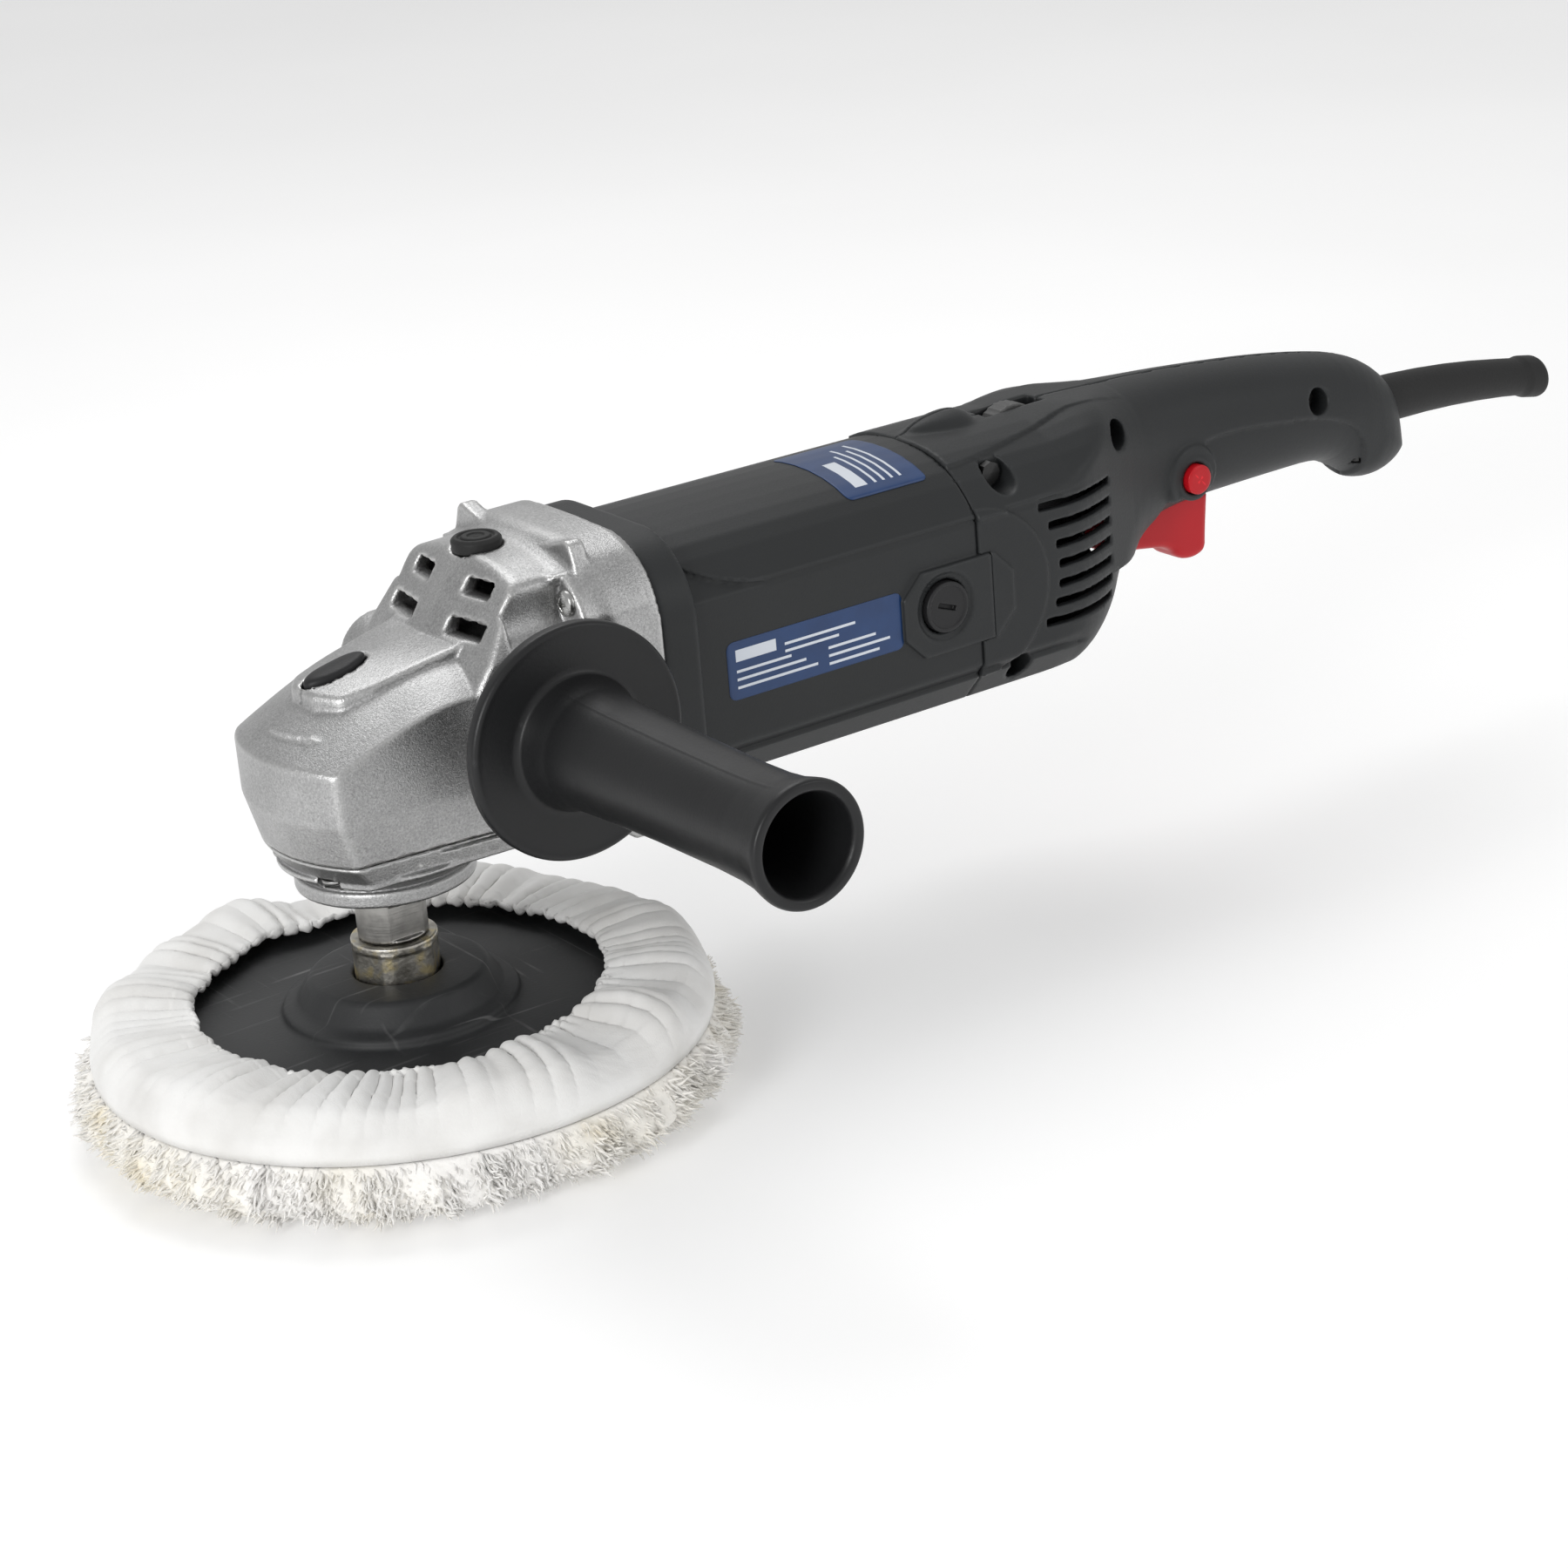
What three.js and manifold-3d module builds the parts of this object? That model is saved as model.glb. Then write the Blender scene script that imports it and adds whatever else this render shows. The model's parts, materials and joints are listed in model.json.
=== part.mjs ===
// Rotary polisher: angle gear head, straight motor body, rear grip handle, side handle, and a backing pad with a
// tie-on wool bonnet. Millimetres, +Z up. The origin is the centre of the wool face on the spindle axis, +X points
// from the spindle to the tail of the rear handle, and the side handle stands out along -Y.
import * as THREE from 'three';
import { mergeVertices } from 'three/addons/utils/BufferGeometryUtils.js';
import Module from 'manifold-3d';

const wasm = await Module();
wasm.setup();

// ---- driving dimensions -------------------------------------------------------------------------------------
const GAP = 0.3; // between touching pieces
const MOTOR_Z = 109.5; // height of the motor axis
const RING_Z = 66; // underside of the gear cover ring
const COVER_TOP = 81.7; // where the cover meets the gear head
const BONNET_R = 97;
const PAD_R = 84.5;
const HEM_R = 57.5; // edge of the gathered cotton
const HEM_Z = 31.8;
const HUB_Z = 37.7; // top of the pad's hub
const NUT_TOP = 48.2;
const SPINDLE_R = 10;
const JOURNAL_R = 7.5; // spindle in its main bearing
const TEETH_CROWN = 41;
const TEETH_PINION = 9;
const CROWN_R = 18.8; // mean radius of the crown teeth
const PINION_R = (CROWN_R * TEETH_PINION) / TEETH_CROWN;
const TOOTH_UP = 0.75; // tooth height above the pitch line
const TOOTH_DOWN = 1.15;
const PITCH_Z = MOTOR_Z - PINION_R;
const FLANGE_X = 72; // rear face of the gear head
const HEAD_HALF = 41; // half width of the head flange and the motor collar
const BODY_TOP = 150;
const BODY_BOTTOM = 72;
const COLLAR_END = 84;
const MOTOR_BORE = 33.5;
const SHAFT_R = 5;
const PARTING_X = 186; // motor housing to rear handle
const WALL = 3;
const BRUSH_X = 172;
const SIDE_X = 30; // side handle axis
const SIDE_Z = 113;
const SIDE_BOSS_Y = 46;
const GUARD_Y = 61.5; // face of the hand guard
const GRIP_END_Y = 166;
const LOCK_X = -8; // spindle lock button
const LOCK_PIN_X = -13.2;
const TRIGGER_PIVOT = [266.5, 103.5];
const LOCK_ON = [286, 118.5];
const DIAL = [229, 141.3];
const DIAL_R = 11;
const SLEEVE_START = 373;
const SLEEVE_END = 460;
const SLEEVE_Z = 118.4;
const SLEEVE_DROP = 7.6; // how far the cable sleeve bends down at its end
const SLEEVE_BORE = 4.4;
const FACETS = 0.5; // turned pieces get this share of the segments that would look smooth

// ---- finishes -----------------------------------------------------------------------------------------------
const finish = (color, roughness, metalness) => new THREE.MeshStandardMaterial({ color, roughness, metalness });
const CAST = finish(0xb4b4b2, 0.45, 0.9);
const STEEL = finish(0x9a9894, 0.3, 1);
const DARK_STEEL = finish(0x55565a, 0.4, 1);
const COPPER = finish(0xa5582c, 0.35, 1);
const BRASS = finish(0xb69a4e, 0.35, 1);
const CARBON = finish(0x26262a, 0.7, 0.1);
const HOUSING = finish(0x35383a, 0.6, 0);
const BLACK = finish(0x1a1b1d, 0.55, 0);
const RED = finish(0xc4121c, 0.35, 0);
const COTTON = finish(0xe6e6e2, 0.95, 0);
const WOOL = finish(0xe8e2d4, 1, 0);

// ---- tools for solids ---------------------------------------------------------------------------------------
// A closed surface as a solid: shared corners merged, slivers dropped, faces turned outwards.
function solid(geometry) {
  const shared = geometry.clone();
  shared.deleteAttribute('normal');
  shared.deleteAttribute('uv');
  const merged = mergeVertices(shared, 1e-4);
  const at = merged.attributes.position;
  const corners = [];
  let volume = 0;
  const [a, b, c] = [new THREE.Vector3(), new THREE.Vector3(), new THREE.Vector3()];
  for (let i = 0; i < merged.index.count; i += 3) {
    const [p, q, r] = [0, 1, 2].map((k) => merged.index.getX(i + k));
    if (p === q || q === r || r === p) continue;
    corners.push(p, q, r);
    a.fromBufferAttribute(at, p);
    b.fromBufferAttribute(at, q);
    c.fromBufferAttribute(at, r);
    volume += a.dot(b.cross(c));
  }
  if (volume < 0) corners.reverse();
  return new wasm.Manifold(
    new wasm.Mesh({ numProp: 3, vertProperties: new Float32Array(at.array), triVerts: new Uint32Array(corners) }),
  );
}

const outline = (points) => new THREE.Shape(points.map(([u, v]) => new THREE.Vector2(u, v)));
const extrude = (shape, depth, curveSegments = 5) =>
  new THREE.ExtrudeGeometry(shape, { depth, bevelEnabled: false, curveSegments });

// A shape drawn in X, Y and raised from one height to another.
const prismZ = (shape, from, to, segments) => solid(extrude(shape, to - from, segments).translate(0, 0, from));
// A shape drawn in X, Z and carried along Y.
const prismY = (shape, from, to, segments) =>
  solid(extrude(shape, to - from, segments).rotateX(Math.PI / 2).translate(0, to, 0));
// A shape drawn in Y, Z and carried along X.
const alongX = new THREE.Matrix4().makeBasis(
  new THREE.Vector3(0, 1, 0),
  new THREE.Vector3(0, 0, 1),
  new THREE.Vector3(1, 0, 0),
);
const prismX = (shape, from, to, segments) =>
  solid(extrude(shape, to - from, segments).applyMatrix4(alongX).translate(from, 0, 0));

// A turned profile of [radius, distance] points; the profile closes on itself or starts and ends on the axis.
const lathe = (profile, segments) =>
  new THREE.LatheGeometry(profile.map(([r, d]) => new THREE.Vector2(r, d)), Math.max(8, Math.round(segments * FACETS)));
const turnZ = (profile, segments = 32, x = 0, y = 0) =>
  solid(lathe(profile, segments).rotateX(Math.PI / 2).translate(x, y, 0));
const turnX = (profile, segments = 32, y = 0, z = MOTOR_Z) =>
  solid(lathe(profile, segments).rotateZ(-Math.PI / 2).translate(0, y, z));
const turnY = (profile, segments, x, z) => solid(lathe(profile, segments).translate(x, 0, z));

const rod = (r, from, to) => [[0, from], [r, from], [r, to], [0, to]];
const ring = (inner, outer, from, to) => [[inner, from], [outer, from], [outer, to], [inner, to], [inner, from]];
const rodZ = (r, from, to, x = 0, y = 0, segments = 24) => turnZ(rod(r, from, to), segments, x, y);
const rodX = (r, from, to, y = 0, z = MOTOR_Z, segments = 24) => turnX(rod(r, from, to), segments, y, z);
const rodY = (r, from, to, x, z, segments = 24) => turnY(rod(r, from, to), segments, x, z);

const block = (x0, x1, y0, y1, z0, z1) =>
  solid(new THREE.BoxGeometry(x1 - x0, y1 - y0, z1 - z0).translate((x0 + x1) / 2, (y0 + y1) / 2, (z0 + z1) / 2));

// A rectangle in the drawing plane with round corners.
function roundRect(u0, u1, v0, v1, r) {
  const shape = new THREE.Shape();
  shape.absarc(u1 - r, v0 + r, r, -Math.PI / 2, 0);
  shape.absarc(u1 - r, v1 - r, r, 0, Math.PI / 2);
  shape.absarc(u0 + r, v1 - r, r, Math.PI / 2, Math.PI);
  shape.absarc(u0 + r, v0 + r, r, Math.PI, 1.5 * Math.PI);
  return shape;
}

const cut = (body, ...tools) => tools.reduce((kept, tool) => kept.subtract(tool), body);
const join = (body, ...more) => more.reduce((kept, piece) => kept.add(piece), body);

const polisher = new THREE.Group();
function piece(name, shape, material) {
  const { vertProperties, triVerts } = shape.getMesh();
  const geometry = new THREE.BufferGeometry();
  geometry.setAttribute('position', new THREE.BufferAttribute(new Float32Array(vertProperties), 3));
  geometry.setIndex(new THREE.BufferAttribute(new Uint32Array(triVerts), 1));
  geometry.computeVertexNormals();
  const mesh = new THREE.Mesh(geometry, material);
  mesh.name = name;
  polisher.add(mesh);
}

const SIDES = [[-1, 1], [1, 2]]; // side of the machine in Y, and its number in a piece's name
const CORNERS = [[-1, -1], [-1, 1], [1, -1], [1, 1]];

// ---- polishing bonnet, pad and nut --------------------------------------------------------------------------
const PAD_LOW = 17.6;
const WOOL_TOP = 17.2;
piece('bonnet_wool', turnZ([
  [0, 0], [84, 0], [93, 2.5], [BONNET_R, 8], [95.5, 14], [90.5, WOOL_TOP], [0, WOOL_TOP],
], 56), WOOL);
piece('bonnet_skirt', turnZ([
  [86.3, 17.6], [89.6, 17.6], [90.6, 24], [87, 31.5], [76, 35], [HEM_R + 1, HEM_Z + 1.4], [HEM_R, HEM_Z - 1],
  [HEM_R + 3, 29.2], [75, 30], [86.2, 24.5], [86.3, 17.6],
], 56), COTTON);
piece('backing_pad', turnZ([
  [12.7, PAD_LOW], [PAD_R, PAD_LOW], [PAD_R, 22.5], [78, 25], [34.5, 27.6], [32.6, 30.6], [25.4, 36.6], [24, HUB_Z],
  [12.7, HUB_Z], [12.7, PAD_LOW],
], 56), BLACK);
piece('pad_nut', turnZ(ring(7.3, 12.3, 20, NUT_TOP), 32), BRASS);

// ---- spindle, its bearings and the crown gear ---------------------------------------------------------------
const SHOULDER_Z = NUT_TOP + GAP;
const GEAR_SEAT_Z = 92;
const GEAR_BOTTOM = 96.5;
const WEB_TOP = PITCH_Z - TOOTH_DOWN;
const BUSH_LOW = 108;
const BUSH_TOP = 114.5;
const spindleBlank = turnZ([
  [0, 22], [7, 22], [7, SHOULDER_Z], [SPINDLE_R, SHOULDER_Z], [SPINDLE_R, RING_Z + 7], [JOURNAL_R, RING_Z + 7.2],
  [JOURNAL_R, GEAR_SEAT_Z], [9.6, GEAR_SEAT_Z], [9.6, GEAR_BOTTOM - GAP], [7, GEAR_BOTTOM - GAP], [7, WEB_TOP + 0.6],
  [5, WEB_TOP + 0.8], [5, BUSH_TOP - 0.4], [0, BUSH_TOP - 0.4],
], 32);
const spannerFlats = SIDES.map(([side]) => block(-12, 12, ...(side < 0 ? [-14, -8.5] : [8.5, 14]), 49.6, 59.5));
piece('spindle', cut(spindleBlank, ...spannerFlats), STEEL);

const crownBlank = turnZ([
  [7.3, GEAR_BOTTOM], [10.5, GEAR_BOTTOM], [12, 99.2], [21.6, 99.2], [21.6, WEB_TOP], [7.3, WEB_TOP],
  [7.3, GEAR_BOTTOM],
], 48);
const TOOTH_TALL = TOOTH_DOWN + TOOTH_UP;
const CROWN_TOOTH = outline([[-0.78, -0.3], [0.78, -0.3], [0.26, TOOTH_TALL], [-0.26, TOOTH_TALL]]);
const crownTeeth = Array.from({ length: TEETH_CROWN }, (_, i) => {
  const tooth = extrude(CROWN_TOOTH, 4.6).applyMatrix4(alongX).translate(16.5, 0, WEB_TOP);
  return solid(tooth.rotateZ(((i + 0.5) * 2 * Math.PI) / TEETH_CROWN));
});
// the lock pin drops into one of these holes
const LOCK_HOLES = 8;
const lockHoles = Array.from({ length: LOCK_HOLES }, (_, i) => {
  const turn = (i * 2 * Math.PI) / LOCK_HOLES;
  return rodZ(2.7, 90, 110, LOCK_PIN_X * Math.cos(turn), LOCK_PIN_X * Math.sin(turn), 12);
});
piece('crown_gear', cut(join(crownBlank, ...crownTeeth), ...lockHoles), DARK_STEEL);
piece('spindle_bearing', turnZ(ring(JOURNAL_R + GAP, 17.5, 75, 86), 32), STEEL);
piece('spindle_top_bush', turnZ(ring(SHAFT_R + GAP, 8, BUSH_LOW, BUSH_TOP), 24), BRASS);

// ---- gear cover and its screws ------------------------------------------------------------------------------
const COVER_SCREWS = CORNERS.map(([sx, sy]) => [sx * 23, sy * 14]);
const coverPlate = prismZ(roundRect(-31, 31, -30, 30, 14), 74.5, COVER_TOP, 4);
const coverTaper = turnZ([[0, 71.8], [25.2, 71.8], [29.4, 74.6], [0, 74.6]], 40);
const coverRing = turnZ([
  [0, RING_Z], [24.6, RING_Z], [25.5, RING_Z + 0.9], [25.5, 70.6], [24.4, 70.7], [24.4, 72], [0, 72],
], 40);
piece('gear_cover', cut(
  join(coverPlate, coverTaper, coverRing),
  rodZ(17.8, 74.7, 90, 0, 0, 32),
  rodZ(SPINDLE_R + 0.6, 60, 80, 0, 0, 32),
  ...COVER_SCREWS.map(([x, y]) => rodZ(2.3, 60, 90, x, y, 12)),
  ...COVER_SCREWS.map(([x, y]) => rodZ(4, 60, 76.4, x, y, 12)),
), CAST);
COVER_SCREWS.forEach(([x, y], i) => {
  const screw = turnZ([[0, 73.9], [3.4, 74.2], [3.4, 76.1], [2, 76.1], [2, 92], [0, 92]], 12, x, y);
  piece(`cover_screw_${i + 1}`, cut(screw, block(x - 2.4, x + 2.4, y - 0.5, y + 0.5, 73, 75)), STEEL);
});

// ---- gear head ----------------------------------------------------------------------------------------------
const headSide = outline([
  [-35, 91], [-35, 110.5], [-29, 115], [19, 129], [34.5, 151], [62, 154.5], [FLANGE_X, 154.5], [FLANGE_X, 68.5],
  [61, 68.5], [44, 82], [-27, 82],
]);
const headPlan = outline([
  [-35, -9], [-32, -18], [-26, -28.4], [23, -33], [46, -35], [60, -HEAD_HALF], [FLANGE_X, -HEAD_HALF],
  [FLANGE_X, HEAD_HALF], [60, HEAD_HALF], [46, 35], [23, 33], [-26, 28.4], [-32, 18], [-35, 9],
]);
const headCrown = roundRect(-HEAD_HALF, HEAD_HALF, 68.5, 154.5, 20);
const tonguePlan = outline([
  [-20, -8], [-14, -15], [24, -18.5], [40, -18.5], [40, 18.5], [24, 18.5], [-14, 15], [-20, 8],
]);
const tongueSide = outline([[-22, 112], [-20, 125.5], [16, 135], [40, 136], [40, 112]]);
const tongue = prismZ(tonguePlan, 112, 136).intersect(prismY(tongueSide, -20, 20));
const headBody = join(
  prismY(headSide, -HEAD_HALF, HEAD_HALF).intersect(prismZ(headPlan, 68.5, 154.5))
    .intersect(prismX(headCrown, -35, FLANGE_X, 4)),
  tongue,
  rodY(13, -SIDE_BOSS_Y, SIDE_BOSS_Y, SIDE_X, SIDE_Z, 32),
);
const HEAD_SCREW_Y = 32;
const HEAD_SCREW_Z = 31; // above and below the motor axis
const headScrews = CORNERS.map(([sy, sz]) => [sy * HEAD_SCREW_Y, MOTOR_Z + sz * HEAD_SCREW_Z]);
const VENT_ROWS = [[30.8, 15.2, 145.7, 4.4], [24.1, 17.6, 136.5, 5.4]]; // x, y, z, half width of each pair
const vents = VENT_ROWS.flatMap(([x, y, z, half]) =>
  SIDES.map(([side]) => block(x - 9, x + 9, side * y - half, side * y + half, z - 1.6, z + 1.6)));
const airRoom = outline([[26, 131.5], [36.5, 147], [FLANGE_X + 2, 147], [FLANGE_X + 2, 131.5]]);
piece('gear_head', cut(
  headBody,
  rodZ(23.3, 81, 107.6, 0, 0, 40),
  rodZ(8.3, 107, 114.8, 0, 0, 24),
  rodX(6.6, 9.5, 31),
  rodX(15.3, 30, 41, 0, MOTOR_Z, 32),
  rodX(12, 40, 53),
  turnX([[0, 52], [24, 52], [33, 58], [33, 80], [0, 80]], 36),
  prismY(airRoom, -24, 24),
  ...vents,
  prismZ(new THREE.Shape().absellipse(LOCK_X, 0, 9.9, 4.9, 0, 2 * Math.PI), 119, 140, 4),
  rodZ(2.4, 100, 124, LOCK_PIN_X, 0, 12),
  rodZ(5.6, 144, 160, 40.3, 0, 24),
  ...SIDES.map(([side]) => rodY(4.3, ...(side < 0 ? [-50, -34] : [34, 50]), SIDE_X, SIDE_Z, 16)),
  ...headScrews.flatMap(([y, z]) => [rodX(2.3, 40, 80, y, z, 12), rodX(5.2, 20, 49, y, z, 16)]),
  ...COVER_SCREWS.map(([x, y]) => rodZ(2.3, 80, 93, x, y, 12)),
), CAST);
headScrews.forEach(([y, z], i) => {
  const screw = turnX([[0, 45.8], [2.6, 46], [3.9, 47.4], [3.9, 48.7], [2, 48.7], [2, 82], [0, 82]], 12, y, z);
  piece(`head_screw_${i + 1}`, cut(screw, block(44, 47, y - 0.6, y + 0.6, z - 2.4, z + 2.4)), STEEL);
});
piece('top_plug', turnZ([[0, 146.5], [5, 146.5], [5, 153.6], [7.1, 153.6], [7.1, 155], [6.2, 155.8], [0, 155.8]], 24,
  40.3, 0), BLACK);

// black exhaust louvre in the underside of the head, with a row of teeth
const LOUVRE_TEETH = 7;
const louvreTeeth = Array.from({ length: LOUVRE_TEETH }, (_, i) => {
  const y = (i - (LOUVRE_TEETH - 1) / 2) * 5;
  return block(34.5, 50, y - 1.5, y + 1.5, 75.5, 79);
});
piece('head_louvre', join(block(33, 52, -18, 18, 78.6, 81.7), ...louvreTeeth)
  .subtract(prismY(outline([[42, 81.9], [61, 66.5], [61, 82]]), -20, 20)), BLACK);

// ---- spindle lock -------------------------------------------------------------------------------------------
const LOCK_SEAT = 123.6;
const lockCap = prismZ(new THREE.Shape().absellipse(LOCK_X, 0, 9.4, 4.4, 0, 2 * Math.PI), LOCK_SEAT, 134, 4)
  .subtract(prismY(outline([[-20, 128.6], [4, 133], [4, 140], [-20, 140]]), -6, 6));
piece('spindle_lock_button', join(lockCap, rodZ(2, 105.3, 125, LOCK_PIN_X, 0, 12)), BLACK);

// ---- pinion, armature and its bearings ----------------------------------------------------------------------
function pinionOutline() {
  const root = PINION_R - TOOTH_DOWN;
  const tip = PINION_R + TOOTH_UP;
  const flank = PINION_R - 0.3;
  const tooth = [[-0.62, root], [-0.58, flank], [-0.24, tip], [0.24, tip], [0.58, flank], [0.62, root]];
  const points = [];
  for (let i = 0; i < TEETH_PINION; i += 1) {
    // the first tooth points straight down into the crown gear
    const turn = Math.PI + (i * 2 * Math.PI) / TEETH_PINION;
    for (const [across, out] of tooth) {
      points.push([-across * Math.cos(turn) - out * Math.sin(turn), -across * Math.sin(turn) + out * Math.cos(turn)]);
    }
  }
  return outline(points);
}
const PINION_BORE = 2.2;
const pinionBlank = prismX(pinionOutline(), 15, 24.5).translate([0, 0, MOTOR_Z]);
piece('pinion', cut(pinionBlank, rodX(PINION_BORE, 10, 30)), STEEL);
piece('pinion_bearing', turnX(ring(SHAFT_R + GAP, 15, 30.3, 39.5), 28), STEEL);
piece('armature_shaft', turnX([
  [0, 14], [PINION_BORE - GAP, 14], [PINION_BORE - GAP, 24.8], [SHAFT_R, 24.8], [SHAFT_R, 188], [4, 188.4], [4, 195.5],
  [0, 195.5],
], 24), STEEL);
const FAN_BLADES = 11;
const fanBlades = Array.from({ length: FAN_BLADES }, (_, i) =>
  solid(new THREE.BoxGeometry(11, 1.6, 18).translate(82, 0, 21.5).rotateX((i * 2 * Math.PI) / FAN_BLADES)
    .translate(0, 0, MOTOR_Z)));
piece('cooling_fan', cut(
  join(turnX([[0, 77], [10, 77], [31, 87], [31, 89], [9, 89], [9, 92], [0, 92]], 28),
    ...fanBlades.map((blade) => blade.intersect(rodX(31, 76, 89)))),
  rodX(SHAFT_R + GAP, 70, 100),
), BLACK);

const CORE = [102, 150];
const SLOTS = 12;
const slotBars = (clearance, from, to) => Array.from({ length: SLOTS }, (_, i) =>
  solid(new THREE.BoxGeometry(to - from, 3.4 + 2 * clearance, 6 + 2 * clearance).translate((from + to) / 2, 0, 15)
    .rotateX((i * 2 * Math.PI) / SLOTS).translate(0, 0, MOTOR_Z)));
piece('armature_core', cut(
  rodX(19.8, ...CORE, 0, MOTOR_Z, 36), rodX(SHAFT_R + GAP, 90, 160), ...slotBars(GAP, CORE[0] - 1, CORE[1] + 1),
), DARK_STEEL);
const endBell = (from, to) =>
  turnX([[7.5, from], [16, from], [18, (from + to) / 2], [17.5, to], [7.5, to], [7.5, from]], 24);
piece('armature_windings', join(endBell(93.5, CORE[0] - GAP), endBell(CORE[1] + GAP, 160.5), ...slotBars(0, 101, 151)),
  COPPER);
const commutatorCuts = Array.from({ length: SLOTS }, (_, i) =>
  solid(new THREE.BoxGeometry(14, 0.7, 1.6).translate(172, 0, 11).rotateX((i * 2 * Math.PI) / SLOTS)
    .translate(0, 0, MOTOR_Z)));
piece('commutator', cut(turnX(ring(SHAFT_R + GAP, 11, 163, 181), 24), ...commutatorCuts), COPPER);
const REAR_BEARING = [189, 195];
piece('rear_bearing', turnX(ring(4 + GAP, 10.5, ...REAR_BEARING), 24), STEEL);
piece('bearing_sleeve', turnX(ring(10.8, 13, REAR_BEARING[0] - 0.2, REAR_BEARING[1] + 0.2), 24), BLACK);

// ---- field: laminated core and two coils --------------------------------------------------------------------
const POLE_R = 20.8;
const POLE_HALF = 8.4;
const poles = SIDES.map(([side]) =>
  block(...CORE, ...(side < 0 ? [-30, -18] : [18, 30]), MOTOR_Z - POLE_HALF, MOTOR_Z + POLE_HALF));
piece('stator_core', cut(
  join(turnX(ring(29.8, 33.2, ...CORE), 40), ...poles), rodX(POLE_R, 90, 160, 0, MOTOR_Z, 36),
), DARK_STEEL);
SIDES.forEach(([side, number]) => {
  const span = side < 0 ? [-25.4, -21.2] : [21.2, 25.4];
  const coil = cut(
    block(94, 158, ...span, MOTOR_Z - 13.4, MOTOR_Z + 13.4),
    block(100, 152, -40, 40, MOTOR_Z - 8.8, MOTOR_Z + 8.8),
  );
  piece(`field_coil_${number}`, coil, COPPER);
});

// ---- motor housing ------------------------------------------------------------------------------------------
const collar = prismX(roundRect(-HEAD_HALF, HEAD_HALF, 69.5, 153.5, 20), FLANGE_X + GAP, COLLAR_END, 4);
const tubeSection = outline([
  [-38.5, 133], [-34, 138.5], [-26, 145.5], [-14, 149.3], [0, BODY_TOP], [14, 149.3], [26, 145.5], [34, 138.5],
  [38.5, 133], [38, 86], [28, 74.5], [14, BODY_BOTTOM], [-14, BODY_BOTTOM], [-28, 74.5], [-38, 86],
]);
const brushBosses = SIDES.map(([side]) =>
  rodY(13, ...(side < 0 ? [-40.3, -37] : [37, 40.3]), BRUSH_X, MOTOR_Z, 8));
const rearWindows = [45, 135, 225, 315].map((degrees) => {
  const turn = THREE.MathUtils.degToRad(degrees);
  return rodX(7, 180, 190, 23.5 * Math.cos(turn), MOTOR_Z + 23.5 * Math.sin(turn), 16);
});
piece('motor_housing', cut(
  join(
    cut(join(collar, prismX(tubeSection, COLLAR_END - 1, PARTING_X)),
      rodX(MOTOR_BORE, 70, PARTING_X - 3.5, 0, MOTOR_Z, 40)),
    rodX(15.5, 184, REAR_BEARING[1] + 0.6, 0, MOTOR_Z, 24),
    ...brushBosses,
  ),
  turnX([[0, 180], [6, 180], [6, REAR_BEARING[0] - 1], [13.3, REAR_BEARING[0] - 0.9], [13.3, 200], [0, 200]], 24),
  ...rearWindows,
  rodY(8, -50, 50, BRUSH_X, MOTOR_Z),
  ...headScrews.map(([y, z]) => rodX(2.3, 70, 82.6, y, z, 12)),
), HOUSING);

// ---- carbon brush gear, one set on each side ----------------------------------------------------------------
// A spring as a closed wire helix along Y.
class Helix extends THREE.Curve {
  constructor(radius, turns, from, to) {
    super();
    Object.assign(this, { radius, turns, from, to });
  }

  getPoint(t, target = new THREE.Vector3()) {
    const turn = t * this.turns * 2 * Math.PI;
    return target.set(this.radius * Math.cos(turn), this.from + t * (this.to - this.from), this.radius * Math.sin(turn));
  }
}
const wireSection = new THREE.Shape().absarc(0, 0, 0.35, 0, 2 * Math.PI);
SIDES.forEach(([side, number]) => {
  const span = (near, far) => (side < 0 ? [-far, -near] : [near, far]);
  const tube = (length, width, near, far) =>
    block(BRUSH_X - length / 2, BRUSH_X + length / 2, ...span(near, far), MOTOR_Z - width / 2, MOTOR_Z + width / 2);
  piece(`brush_holder_${number}`, cut(tube(12, 9, 13, 33), tube(9.6, 6.6, 10, 40)), BRASS);
  piece(`carbon_brush_${number}`, tube(9, 6, 11.4, 25), CARBON);
  const wire = new THREE.ExtrudeGeometry(wireSection, {
    steps: 32,
    bevelEnabled: false,
    curveSegments: 2,
    extrudePath: new Helix(2.2, 4, side * 25.8, side * 33.4),
  });
  piece(`brush_spring_${number}`, solid(wire.translate(BRUSH_X, 0, MOTOR_Z)), STEEL);
  const cap = rodY(7.7, ...span(34.2, 40.9), BRUSH_X, MOTOR_Z, 24);
  const slot = block(BRUSH_X - 3, BRUSH_X + 3, ...span(39.4, 42), MOTOR_Z - 0.7, MOTOR_Z + 0.7);
  piece(`brush_cap_${number}`, cut(cap, slot), BLACK);
});

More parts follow.
